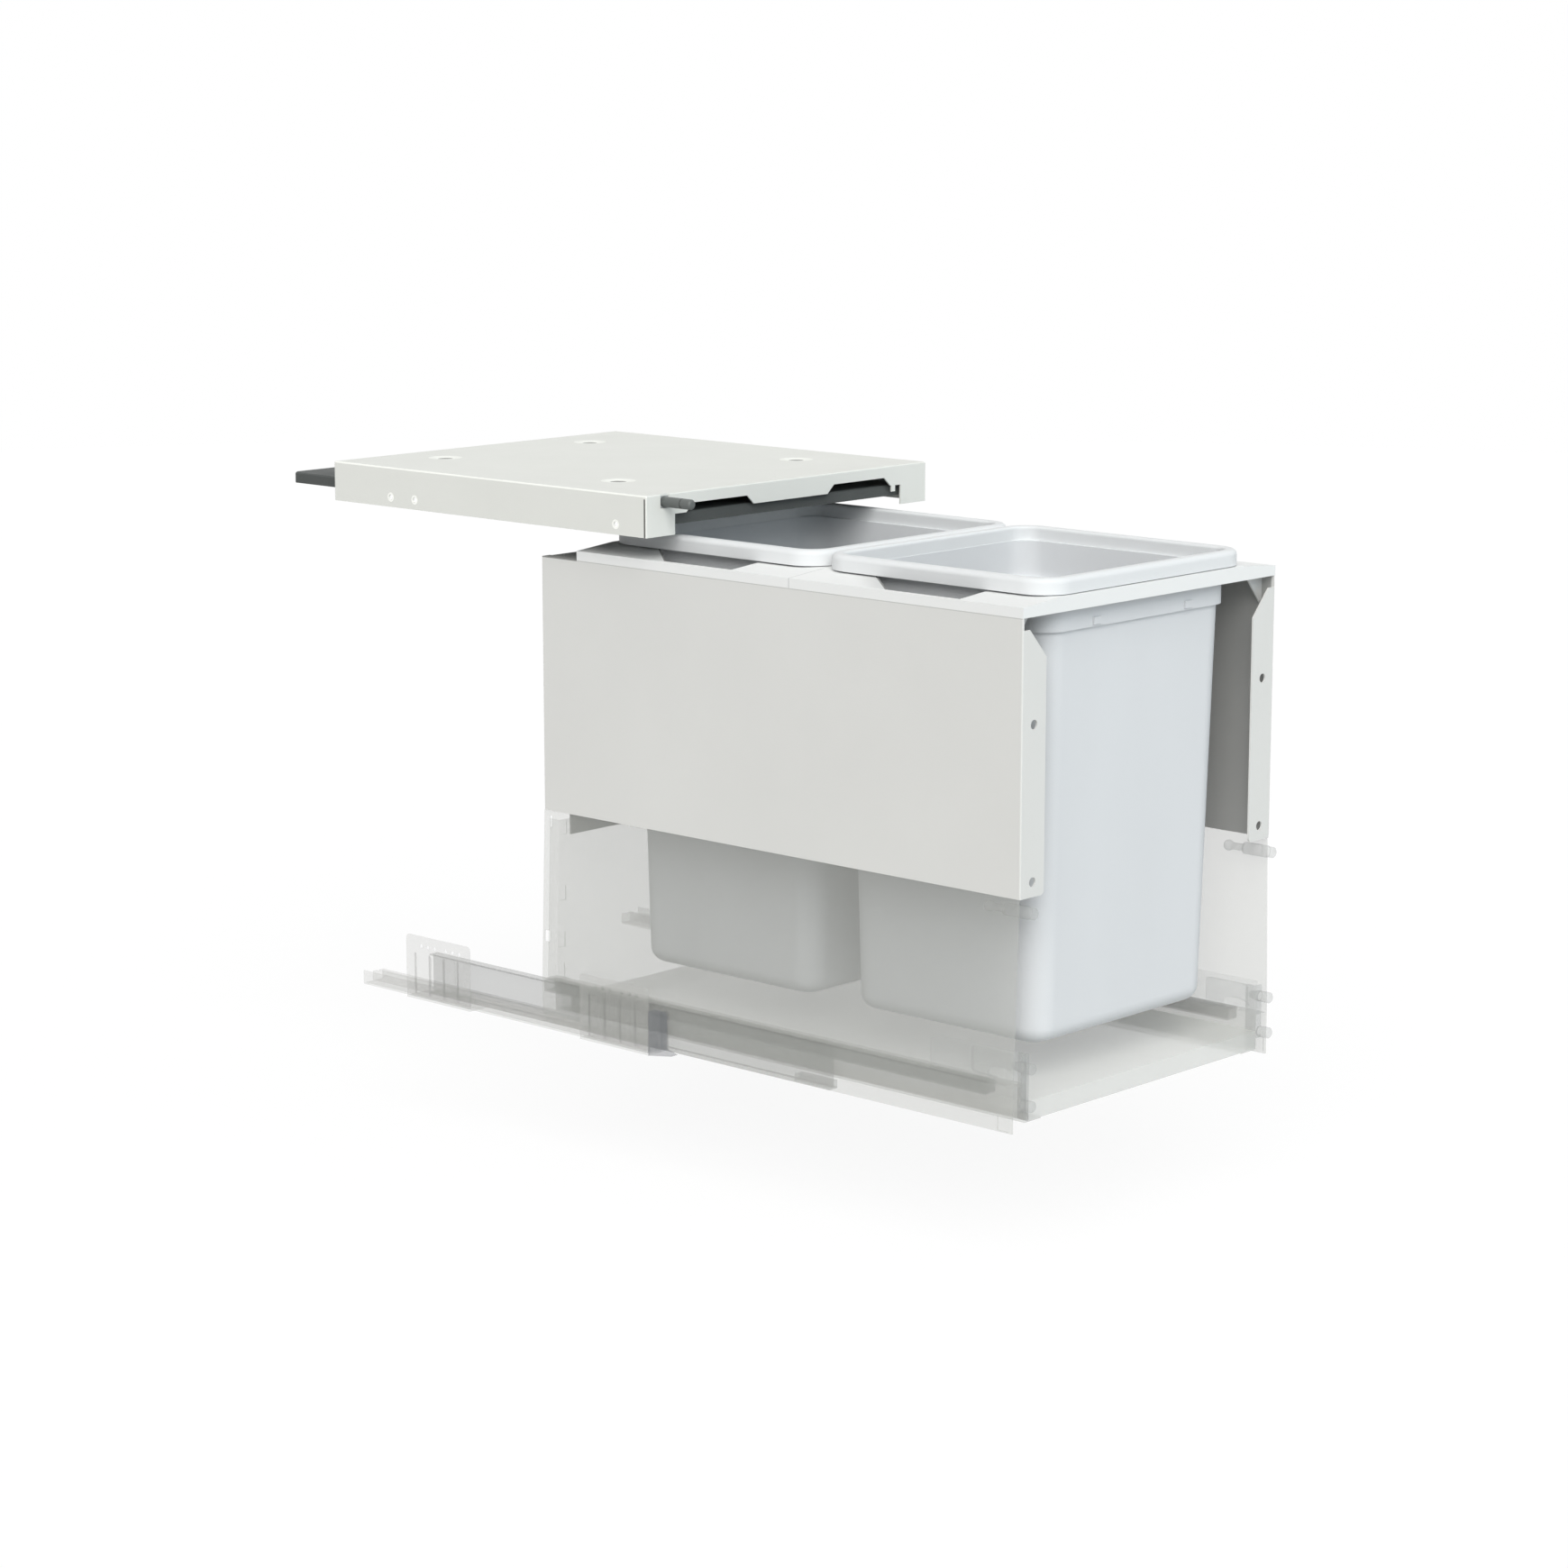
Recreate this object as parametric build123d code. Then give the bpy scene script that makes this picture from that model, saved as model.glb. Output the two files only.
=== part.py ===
from build123d import *
import os

# Pull-out waste unit for a base cabinet: two bins hang in a drawer, under a closing panel that
# lowers from a fixed housing. X runs across the cabinet, +Y into it and +Z up. The origin is the
# centre of the housing's top face, which is screwed up against the cabinet. Millimetres.

# --- Cabinet and lid housing ------------------------------------------------------------------
cabinet_clear_width = 368.0
lid_side_gap = 2.0
lid_depth = 402.0
lid_height = 36.0
sheet = 1.5
lid_rear_flange = 13.0
lid_leg_width = 35.0
lid_flange_height = 18.0
relief_height = 7.8
relief_inner = 48.0
relief_margin = 49.0
relief_slant = 8.5
lug_margin = 45.0
lug_width = 5.0
lug_drop = 5.5
corner_slit = 1.0
screw_hole_radius = 2.5
front_screw_margin = 66.5
rear_screw_margin = 88.5
front_screw_setback = 100.0
rear_screw_setback = 348.0
centre_hole_setback = 20.0
centre_hole_radius = 1.5
fold_radius = 1.2
dimple_radius = 12.0
dimple_depth = 2.0
system_setback = 37.0
system_pitch = 32.0
side_hole_height = 9.0

# --- Closing panel and its slotted rails ------------------------------------------------------
panel_side_margin = 19.0
panel_shortfall = 21.0
panel_thickness = 9.8
panel_front_gap = 5.0
panel_wall = 2.4
panel_corner = 8.0
panel_drop = 10.6
panel_seat_gap = 0.4
panel_chamfer = 1.2
panel_rib_half = 1.0
panel_rib_rise = 2.0
panel_rib_shares = (-0.25, 0.25)
trunnion_end_gap = 1.0
trunnion_radius = 2.5
trunnion_setbacks = (110.0, 270.0)
trunnion_below_top = 3.0
slot_clearance = 0.1
guide_thickness = 3.5
guide_half_length = 11.0
rail_thickness = 2.0
rail_side_gap = 0.4
rail_front = 20.0
rail_strip_top = -2.0
rail_strip_bottom = -20.0
rail_rear_gap = 4.0
rail_margin = 1.1
lug_slope = 8.0
stud_setbacks = (160.0, 330.0)
stud_depth = 12.0
stud_head_radius = 4.5
stud_head = 1.8
plunger_radius = 4.5
plunger_inset = 22.8
plunger_reach = 33.0
plunger_clearance = 0.06
plunger_headroom = 0.6
plunger_notch_gap = 1.0
plunger_tip_share = 0.6
plunger_tip_rounding = 0.55
plunger_groove_width = 1.2
plunger_groove_depth = 0.6
plunger_head_length = 11.0
bush_length = 12.0
bush_wall = 2.4
arm_setback = 4.0
arm_length = 10.0
arm_top = -2.2
cross_bar_width = 12.0
cross_bar_setback = 3.0
cross_bar_levels = (-14.0, -4.0)

# --- Drawer, frame and bins -------------------------------------------------------------------
drawer_side_gap = 15.5
drawer_depth = 546.0
closing_travel = 400.0
closed_gap = 3.0
side_height = 227.0
front_flange_width = 30.0
front_flange_height = 217.0
flange_top_flat = 9.0
flange_chamfer_drop = 23.5
flange_hole_radius = 4.0
front_hole_inset = 15.2
front_hole_height = 12.4
front_hole_pitch = 128.0
flange_corner = 4.0
return_width = 10.0
frame_skirt = 8.4
frame_rise = 4.0
frame_slope_width = 45.0
frame_shortfall = 44.0
grip_edge = 3.0
grip_start = 68.0
grip_length = 77.0
grip_slant = 51.0
gusset_width = 27.0
gusset_tab_half = 6.0
gusset_tab_gap = 0.2
ring_side_margin = 34.0
ring_end_gap = 2.0
ring_height = 13.3
ring_radius = 28.0
ring_band = 11.0
ring_wall = 1.8
ring_shadow_gap = 0.8
ring_outer_rounding = 4.5
ring_inner_rounding = 2.5
opening_inset_x = 10.5
opening_inset_y = 8.5
bin_clearance = 1.0
bin_wall = 2.0
bin_height = 390.0
lip_inset = 3.0
lip_thickness = 1.8
collar_height = 31.4
body_step_x = 3.5
body_step_y = 3.0
body_taper_x = 4.0
body_taper_y = 9.0
body_radius = 22.0
bin_bottom_radius = 14.0
catch_half_spacing = 61.0
catch_half_width = 5.0
catch_reach = 2.0
catch_levels = (2.0, 8.0)

# --- Drawer sides, base and back --------------------------------------------------------------
upper_wall_height = 154.0
hollow_height = 39.0
hollow_outset = 5.0
hollow_inset = 12.5
foot_width = 19.0
base_drop = 15.0
base_thickness = 16.0
pad_length = 11.0
pad_setback = 5.0
pad_thickness = 1.2
pad_height = 12.0
front_bracket_depth = 10.5
front_web_width = 7.0
front_web_drop = 22.0
front_block_length = 80.0
front_block_height = 25.0
cap_length = 44.5
cap_height = 22.4
cap_radius = 4.0
cap_setback = 34.4
cap_thickness = 1.5
cap_recess = 4.0
cap_gap = 0.05
cap_dimple_place = (1.5, 2.0)
cap_dimple_radii = (6.0, 4.0)
cap_dimple_depth = 0.6
adjuster_setback = 25.0
adjuster_rise = 4.6
adjuster_half_length = 13.0
adjuster_half_height = 5.0
peg_radius = 4.8
peg_reach = 10.5
peg_web_margin = 5.5
peg_chamfer = 1.0
peg_half_rise = 15.6
peg_centre_drop = 0.8
peg_spigot_radius = 4.0
peg_root_radius = 3.0
connector_drop = 11.0
connector_ball_setback = 37.0
connector_sleeve_end = 19.7
connector_sleeve_start = -3.0
connector_sleeve_radius = 5.4
connector_neck_radius = 3.2
connector_foot_half_height = 4.0
connector_foot_places = (6.0, 16.0)
back_height = 146.0
back_setback = 16.0
back_flange = 12.0
hook_width = 8.0
hook_height = 13.0
hook_drops = (8.0, 67.5, 110.0, 138.5)
wall_slots = ((8.0, 3.4, 4.7), (5.5, 7.0, 109.0))
wall_slot_height = 10.3

# --- Cabinet runners --------------------------------------------------------------------------
runner_sheet = 1.2
channel_side_gap = 0.65
channel_height = 10.4
channel_gap = 0.8
runner_play = 0.3
middle_side_gap = 0.5
runner_drop = 42.0
runner_length = 375.0
middle_shortfall = 49.0
runner_leg = 13.0
bracket_sheet = 1.5
bracket_length = 85.0
bracket_height = 60.0
rear_bracket_setback = 228.0
bracket_hole_pitch = 9.0
bracket_hole_radius = 2.0
bracket_hole_drop = 9.0
bracket_hole_setback = 14.0
bracket_hole_groups = 33.0
bracket_corner = 4.0
rib_pitch = 16.0
rib_width = 2.4
rib_depth = 0.8
rib_top = 40.0
stop_length = 15.0
stop_thickness = 8.5
stop_height = 40.0
stop_ramp = 13.0
ramp_rise = 4.0
ramp_top = 7.0
glide_length = 40.0
runner_front_setback = 32.0

# --- Places worked out from the sizes above ---------------------------------------------------
half_cabinet = cabinet_clear_width / 2
half_lid = half_cabinet - lid_side_gap
half_drawer = half_cabinet - drawer_side_gap
lid_front = -lid_depth / 2
lid_inner = half_lid - sheet
relief_outer = half_lid - relief_margin
lug_x = half_lid - lug_margin
front_screw_half_spacing = half_lid - front_screw_margin
rear_screw_half_spacing = half_lid - rear_screw_margin
module_length = (drawer_depth - frame_shortfall) / 2
panel_width = 2 * (lid_inner - panel_side_margin)
panel_length = 2 * module_length - panel_shortfall
drawer_front = lid_front - closed_gap - closing_travel
drawer_back = drawer_front + drawer_depth
plunger_travel = plunger_reach - closed_gap
panel_top = -lid_flange_height
panel_bottom = panel_top - panel_thickness
panel_front = lid_front + panel_front_gap
panel_half = panel_width / 2
trunnion_z = panel_top - trunnion_below_top
ring_top = panel_bottom - panel_drop - panel_seat_gap
ring_bottom = ring_top - ring_height
frame_top = ring_bottom - ring_shadow_gap
frame_edge = frame_top - frame_rise
frame_bottom = frame_edge - frame_skirt
side_top = frame_bottom
side_bottom = side_top - side_height
ledge = side_bottom - upper_wall_height
base_top = ledge - base_drop
base_bottom = base_top - base_thickness
lip_top = frame_top + lip_thickness
collar_bottom = frame_top - collar_height
bin_bottom = ring_top - bin_height
ring_width = 2 * (half_drawer - ring_side_margin)
ring_depth = module_length - 2 * ring_end_gap
opening_width = ring_width - 2 * opening_inset_x
opening_depth = ring_depth - 2 * opening_inset_y
collar_width = opening_width - 2 * bin_clearance
collar_depth = opening_depth - 2 * bin_clearance
peg_inset = hollow_inset - peg_web_margin
channel_width = hollow_inset + hollow_outset - 2 * sheet - 2 * channel_side_gap
modules = [drawer_front + index * module_length for index in range(2)]
runner_centre = half_drawer - (hollow_inset - hollow_outset) / 2
middle_front = lid_front - closing_travel / 2
middle_length = drawer_depth - middle_shortfall
back_face = drawer_back - back_setback
rail_outer = lid_inner - guide_thickness - rail_side_gap
rail_inner = rail_outer - rail_thickness
rail_bottom = trunnion_z - panel_drop - trunnion_radius - slot_clearance - rail_margin
rail_length = lid_depth - rail_front - plunger_travel - sheet - rail_rear_gap
plunger_x = -(half_lid - plunger_inset)
plunger_depth = sheet + plunger_headroom + plunger_radius
plunger_z = -plunger_depth


# --- Shapes that repeat -----------------------------------------------------------------------
def slab(x, y, z):
    """A block between a low and a high value on each axis."""
    size = [high - low for low, high in (x, y, z)]
    centre = [(high + low) / 2 for low, high in (x, y, z)]
    return Pos(*centre) * Box(*size)


def bar(outline, y):
    """An outline of (x, z) points, carried along Y from its low to its high value."""
    face = make_face(Polyline(*outline, close=True))
    return extrude(Plane.XZ.offset(-y[1]) * face, y[1] - y[0])


def plate(outline, z):
    """An outline of (x, y) points, carried up from its low to its high value."""
    return Pos(0, 0, z[0]) * extrude(make_face(Polyline(*outline, close=True)), z[1] - z[0])


def rounded(width, depth, radius, centre_y, z):
    """A rounded rectangle's prism, centred on the unit's middle plane."""
    return Pos(0, centre_y, z[0]) * extrude(RectangleRounded(width, depth, radius), z[1] - z[0])


def rod(radius, start, direction, length):
    """A round bar from its start point."""
    return Solid.make_cylinder(radius, length, Plane(origin=start, z_dir=direction))


def slot(start, end, radius, x):
    """A round-ended slot between two (y, z) centres, cut through from a low to a high x."""
    length = ((end[0] - start[0]) ** 2 + (end[1] - start[1]) ** 2) ** 0.5
    along = Plane(origin=(x[0], *start), x_dir=(0, end[0] - start[0], end[1] - start[1]), z_dir=(1, 0, 0))
    ends = [Pos(place, 0) * Circle(radius) for place in (0, length)]
    outline = Pos(length / 2, 0) * Rectangle(length, 2 * radius) + ends
    return extrude(along * outline, x[1] - x[0])


def flip(part):
    """The same part on the cabinet's other side."""
    return mirror(part, about=Plane.YZ)


def both(part):
    """The part and its mirror image, as separate solids."""
    return Compound(children=[*part.solids(), *flip(part).solids()])


def save(name, part):
    export_step(part, f"parts/{name}.step")


def save_pair(name, part):
    """One node on each side of the cabinet; the part given is the left one, at negative x."""
    save(f"{name}_left", part)
    save(f"{name}_right", flip(part))


# --- Lid housing ------------------------------------------------------------------------------
def screw_dimples(x, setback):
    """A pressed dimple and its screw hole: the metal that it adds below, and the cut above."""
    place = Pos(x, lid_front + setback, 0)
    pressed = place * Pos(0, 0, -(dimple_depth + sheet) / 2) * Cone(
        screw_hole_radius + 3, dimple_radius + 1, dimple_depth + sheet
    )
    cone = place * Pos(0, 0, -dimple_depth / 2) * Cone(screw_hole_radius + 1, dimple_radius, dimple_depth)
    hole = place * Cylinder(screw_hole_radius, 4 * lid_flange_height)
    return pressed, cone + hole


def lid_housing():
    tray = slab((-half_lid, half_lid), (lid_front, -lid_front), (-lid_height, 0))
    tray = fillet(tray.edges().group_by(Axis.Z)[-1] + tray.edges().filter_by(Axis.Z), fold_radius)
    tray -= slab((-lid_inner, lid_inner), (lid_front + sheet, -lid_front - sheet), (-lid_height, -sheet))
    tray -= slab((-lid_inner, lid_inner), (-lid_front - sheet, -lid_front), (-lid_height, -lid_rear_flange))
    # The front flange: two legs, two reliefs with slanted ends, and a lug beside the right leg.
    gap = half_lid - lid_leg_width
    front = (lid_front, lid_front + sheet)
    tray -= slab((-gap, gap), front, (-lid_height, -lid_flange_height))
    relief = [
        (relief_inner, -lid_flange_height),
        (relief_outer, -lid_flange_height),
        (relief_outer - relief_slant, -lid_flange_height + relief_height),
        (relief_inner + relief_slant, -lid_flange_height + relief_height),
    ]
    tray -= both(bar(relief, front))
    tray += slab((lug_x - lug_width / 2, lug_x + lug_width / 2), front,
                 (-lid_flange_height - lug_drop, -lid_flange_height))
    # A square notch for the plunger, open slits at the two front corners, and the fixing holes.
    notch = plunger_radius + plunger_notch_gap
    tray -= slab((plunger_x - notch, plunger_x + notch), front, (plunger_z - notch, 0))
    slit = (lid_front + sheet, lid_front + sheet + corner_slit)
    tray -= both(slab((-half_lid, -lid_inner), slit, (-lid_height, -2 * sheet)))
    front_pair = (front_screw_half_spacing, front_screw_setback)
    rear_pair = (rear_screw_half_spacing, rear_screw_setback)
    for x, setback in (front_pair, rear_pair):
        for side in (-1, 1):
            pressed, cut = screw_dimples(side * x, setback)
            tray = tray + pressed - cut
    tray -= rod(centre_hole_radius, (0, lid_front + centre_hole_setback, -2 * sheet), (0, 0, 1), 3 * sheet)
    for setback in side_hole_setbacks():
        start = (-half_lid - 1, lid_front + setback, side_hole_height - lid_height)
        tray -= rod(screw_hole_radius, start, (1, 0, 0), 2 * half_lid + 2)
    return tray


def side_hole_setbacks():
    rear = system_setback + 8 * system_pitch
    return system_setback, rear, rear + system_pitch


def guide_blocks():
    """Four slotted blocks inside the side flanges, which let the trunnions move straight down."""
    blocks = []
    reach = trunnion_radius + slot_clearance
    across = (-lid_inner, -lid_inner + guide_thickness)
    for setback in trunnion_setbacks:
        y = lid_front + setback
        block = slab(across, (y - guide_half_length, y + guide_half_length), (rail_bottom, -sheet))
        block -= slot((y, trunnion_z), (y, trunnion_z - panel_drop), reach, across)
        blocks.append(block)
    return both(Compound(children=blocks))


def rail_studs():
    """Headed studs on the side flanges, which carry the slotted rails."""
    studs = []
    for setback in stud_setbacks:
        start = (-lid_inner, lid_front + setback, -stud_depth)
        shank = rod(trunnion_radius, start, (1, 0, 0), lid_inner - rail_inner + stud_head)
        head_start = (-rail_inner + 2 * slot_clearance, *start[1:])
        studs.append(shank + rod(stud_head_radius, head_start, (1, 0, 0), stud_head))
    return both(Compound(children=studs))


def plunger_bush():
    y = (lid_front + sheet, lid_front + sheet + bush_length)
    half = plunger_radius + bush_wall
    block = slab((plunger_x - half, plunger_x + half), y, (plunger_z - half, -sheet))
    bore_radius = plunger_radius + plunger_clearance
    return block - rod(bore_radius, (plunger_x, y[0], plunger_z), (0, 1, 0), bush_length)


# --- Closing panel ----------------------------------------------------------------------------
def closing_panel():
    middle = panel_front + panel_length / 2
    body = rounded(panel_width, panel_length, panel_corner, middle, (panel_bottom, panel_top))
    body = chamfer(body.edges().group_by(Axis.Z)[-1], panel_chamfer)
    inner_radius = panel_corner - panel_wall
    body -= rounded(panel_width - 2 * panel_wall, panel_length - 2 * panel_wall, inner_radius, middle,
                    (panel_bottom, panel_top - panel_wall))
    for share in panel_rib_shares:
        x = share * panel_width
        along = (panel_front + panel_wall, panel_front + panel_length - panel_wall)
        body += slab((x - panel_rib_half, x + panel_rib_half), along,
                     (panel_bottom + panel_rib_rise, panel_top - panel_wall))
    return body


def trunnions():
    reach = rail_outer + rail_side_gap + guide_thickness - trunnion_end_gap - panel_half
    pins = [
        rod(trunnion_radius, (-panel_half, lid_front + setback, trunnion_z), (-1, 0, 0), reach)
        for setback in trunnion_setbacks
    ]
    return both(Compound(children=pins))


# --- Slotted rails, cross bar and plunger -----------------------------------------------------
def cam_rail():
    """A rail whose inclined slots push the trunnions down as it slides back."""
    across = (-rail_outer, -rail_inner)
    start = lid_front + rail_front
    rail = slab(across, (start, start + rail_length), (rail_strip_bottom, rail_strip_top))
    reach = trunnion_radius + slot_clearance
    for setback in trunnion_setbacks:
        y = lid_front + setback
        rail += lug(across, y)
        rail -= slot((y, trunnion_z), (y - plunger_travel, trunnion_z - panel_drop), reach, across)
    for setback in stud_setbacks:
        y = lid_front + setback
        rail -= slot((y, -stud_depth), (y - plunger_travel, -stud_depth), reach, across)
    return rail


def lug(across, y):
    """The rail's deeper stretch round one inclined slot, with sloped ends."""
    rear = y + trunnion_radius + 2 * rail_margin
    front = y - plunger_travel - trunnion_radius - 2 * rail_margin
    outline = [(front - lug_slope, rail_strip_bottom), (front, rail_bottom), (rear, rail_bottom),
               (rear + lug_slope, rail_strip_bottom)]
    face = Plane(origin=(across[0], 0, 0), x_dir=(0, 1, 0), z_dir=(1, 0, 0))
    return extrude(face * make_face(Polyline(*outline, close=True)), across[1] - across[0])


def plunger_arm():
    start = lid_front + rail_front + arm_setback
    edge = plunger_x + plunger_radius
    levels = (plunger_z - plunger_radius, arm_top)
    return slab((-rail_inner, edge), (start, start + arm_length), levels)


def cross_bar():
    end = lid_front + rail_front + rail_length - cross_bar_setback
    return slab((-rail_inner, rail_inner), (end - cross_bar_width, end), cross_bar_levels)


def plunger():
    start = (plunger_x, lid_front - plunger_reach, plunger_z)
    length = plunger_reach + rail_front + arm_setback
    tip_length = plunger_tip_share * plunger_head_length
    body = rod(plunger_radius, start, (0, 1, 0), length)
    body -= rod(plunger_radius, start, (0, 1, 0), tip_length)
    tip = rod(plunger_radius, start, (0, 1, 0), tip_length)
    tip = fillet(tip.edges().group_by(Axis.Y)[0], plunger_tip_rounding * plunger_radius)
    neck = (plunger_x, start[1] + plunger_head_length, plunger_z)
    groove = rod(plunger_radius + 1, neck, (0, 1, 0), plunger_groove_width)
    groove -= rod(plunger_radius - plunger_groove_depth, neck, (0, 1, 0), plunger_groove_width)
    return body + tip - groove


# --- Side panels and top frame ----------------------------------------------------------------
def side_panel():
    outer = -half_drawer
    panel = slab((outer, outer + sheet), (drawer_front, drawer_back), (side_bottom, side_top))
    flange_top = side_bottom + front_flange_height
    flange = [
        (outer, side_bottom),
        (outer + front_flange_width, side_bottom),
        (outer + front_flange_width, flange_top - flange_chamfer_drop),
        (outer + flange_top_flat, flange_top),
        (outer, flange_top),
    ]
    front = bar(flange, (drawer_front, drawer_front + sheet))
    corner = front.edges().filter_by(Axis.Y).sort_by(lambda edge: edge.center().Z - edge.center().X)[0]
    front = fillet(corner, flange_corner)
    rear = slab((outer, outer + return_width), (drawer_back - sheet, drawer_back), (side_bottom, side_top))
    top = slab((outer, outer + return_width), (drawer_front + gusset_width, drawer_back),
               (side_top - sheet, side_top))
    panel += [front, rear, top]
    folds = panel.edges().filter_by(Axis.Z).filter_by_position(Axis.X, outer - 0.01, outer + 0.01)
    panel = fillet(folds, fold_radius)
    for height in (front_hole_height, front_hole_height + front_hole_pitch):
        start = (outer + front_hole_inset, drawer_front - 1, side_bottom + height)
        panel -= rod(flange_hole_radius, start, (0, 1, 0), sheet + 2)
    return panel


def frame_outline(inset):
    """The frame's section over the drawer: upright skirts, sloped margins and a flat top."""
    edge = half_drawer - inset
    knee = half_drawer - frame_slope_width
    right = [(edge, frame_bottom), (edge, frame_edge - inset), (knee, frame_top - inset)]
    return right + [(-x, z) for x, z in reversed(right)]


def frame_module(start):
    """One half of the top frame, with the opening that its bin hangs in and two finger grips."""
    end = start + module_length
    body = bar(frame_outline(0), (start, end))
    body -= bar(frame_outline(sheet), (start + sheet, end - sheet))
    middle = start + module_length / 2
    body -= rounded(opening_width, opening_depth, body_radius + 2, middle, (frame_bottom, frame_top))
    grip_reach = half_drawer - opening_width / 2
    grip = [
        (-half_drawer + grip_edge, start + grip_start),
        (-half_drawer + grip_reach + 2, start + grip_start),
        (-half_drawer + grip_reach + 2, start + grip_start + grip_length + grip_slant),
        (-half_drawer + grip_edge, start + grip_start + grip_length),
    ]
    body -= both(plate(grip, (frame_edge - 2 * sheet, frame_top)))
    return body


def frame_gussets():
    """Triangular brackets in the corners, between the frame's skirts and the side panels."""
    inner = -half_drawer + sheet
    pieces = []
    for y in (drawer_front + gusset_width / 2, modules[1] + module_length - gusset_width / 2):
        triangle = [(inner, frame_edge - 2 * sheet), (inner + gusset_width, frame_edge - 2 * sheet),
                    (inner, frame_bottom - gusset_width)]
        web = bar(triangle, (y - sheet / 2, y + sheet / 2))
        notch = slab((inner, inner + return_width), (y - sheet, y + sheet), (side_top - sheet, side_top))
        tab = slab((inner, inner + sheet), (y - gusset_tab_half, y + gusset_tab_half),
                   (side_top + gusset_tab_gap, frame_edge - 2 * sheet))
        pieces.append((web - notch if y > drawer_front + gusset_width else web) + tab)
    return both(Compound(children=pieces))


# --- Bins and their bag rings -----------------------------------------------------------------
def tapered(step, z_top, z_bottom, middle, radius):
    """A bin body's form, inset all round by a step from its outer face."""
    top_width = collar_width - 2 * body_step_x - 2 * step
    top_depth = collar_depth - 2 * body_step_y - 2 * step
    upper = Pos(0, middle, z_top) * Rectangle(top_width, top_depth)
    lower = Pos(0, middle, z_bottom) * Rectangle(top_width - 2 * body_taper_x, top_depth - 2 * body_taper_y)
    body = loft([upper, lower], ruled=True)
    body = fillet(body.edges().group_by(Axis.Z)[1], radius)
    return fillet(body.edges().group_by(Axis.Z)[0], bin_bottom_radius - step)


def waste_bin(start):
    middle = start + module_length / 2
    body = tapered(0, collar_bottom, bin_bottom, middle, body_radius)
    body += rounded(collar_width, collar_depth, body_radius + 1, middle, (collar_bottom, frame_top))
    body += rounded(ring_width - 2 * lip_inset, ring_depth - 2 * lip_inset, ring_radius - lip_inset, middle,
                    (frame_top, lip_top))
    floor = bin_bottom + bin_wall
    body -= tapered(bin_wall, collar_bottom + bin_wall, floor, middle, body_radius - bin_wall)
    body -= rounded(collar_width - 2 * bin_wall, collar_depth - 2 * bin_wall, body_radius + 1 - bin_wall,
                    middle, (collar_bottom + bin_wall, lip_top))
    front = middle - collar_depth / 2
    for x in (-catch_half_spacing, catch_half_spacing):
        levels = [collar_bottom + level for level in catch_levels]
        across = (x - catch_half_width, x + catch_half_width)
        body += slab(across, (front - catch_reach, front), levels)
    return body


def bag_ring(start):
    """The band over a bin's rim, open below, which holds the bag."""
    middle = start + module_length / 2
    hole_width, hole_depth = ring_width - 2 * ring_band, ring_depth - 2 * ring_band
    hole_radius = ring_radius - ring_band
    outer = rounded(ring_width, ring_depth, ring_radius, middle, (ring_bottom, ring_top))
    outer = fillet(outer.edges().group_by(Axis.Z)[-1], ring_outer_rounding)
    hollow = rounded(ring_width - 2 * ring_wall, ring_depth - 2 * ring_wall, ring_radius - ring_wall, middle,
                     (ring_bottom, ring_top - 2 * ring_wall))
    hollow -= rounded(hole_width + 2 * ring_wall, hole_depth + 2 * ring_wall, hole_radius + ring_wall, middle,
                      (lip_top, ring_top))
    hole = rounded(hole_width, hole_depth, hole_radius, middle, (ring_bottom, ring_top))
    ring = outer - hollow - hole
    inner_top = ring.edges().group_by(Axis.Z)[-1].sort_by(SortBy.LENGTH)
    rim = [edge for edge in inner_top if abs(edge.center().X) <= hole_width / 2 + 0.1
           and abs(edge.center().Y - middle) <= hole_depth / 2 + 0.1]
    return fillet(rim, ring_inner_rounding)


# --- Drawer sides, base and back --------------------------------------------------------------
def wall_face(z):
    """The drawer wall's inner face at a height: the wall leans outwards as it goes down."""
    return -half_drawer + sheet - hollow_outset * (side_bottom - z) / upper_wall_height


def drawer_side():
    """A leaning sheet wall over a hollow profile that hides the runner."""
    outer = -half_drawer
    low = outer - hollow_outset
    inner = outer + hollow_inset
    foot = base_bottom - sheet
    section = [
        (outer, side_bottom),
        (outer + sheet, side_bottom),
        (low + sheet, ledge),
        (inner, ledge),
        (inner, base_bottom),
        (inner + foot_width, base_bottom),
        (inner + foot_width, foot),
        (inner - sheet, foot),
        (inner - sheet, ledge - sheet),
        (low + sheet, ledge - sheet),
        (low + sheet, ledge - hollow_height),
        (low, ledge - hollow_height),
        (low, ledge),
    ]
    front = drawer_front + sheet
    pad_start = drawer_front + pad_setback
    pad_top = ledge - hollow_height + sheet + pad_height
    pad_y = (pad_start, pad_start + pad_length)
    pad = slab((low - pad_thickness, low), pad_y, (pad_top - pad_height, pad_top))
    side = bar(section, (front, drawer_back)) + pad
    for setback, width, drop in wall_slots:
        y = (drawer_back - setback - width / 2, drawer_back - setback + width / 2)
        side -= slab((low, outer + 2 * sheet), y, (side_bottom - drop - wall_slot_height, side_bottom - drop))
    return side


def drawer_base():
    inner = half_drawer - hollow_inset - sheet
    return slab((-inner, inner), (drawer_front, back_face - sheet), (base_bottom, base_top))


def back_outline(step):
    """The back's section between the leaning walls, set in from them by a step."""
    top = ledge + back_height
    left = [
        (wall_face(top) + step, top),
        (wall_face(ledge) + step, ledge),
        (-half_drawer + hollow_inset + step, ledge),
        (-half_drawer + hollow_inset + step, base_bottom),
    ]
    return left + [(-x, z) for x, z in reversed(left)]


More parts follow.
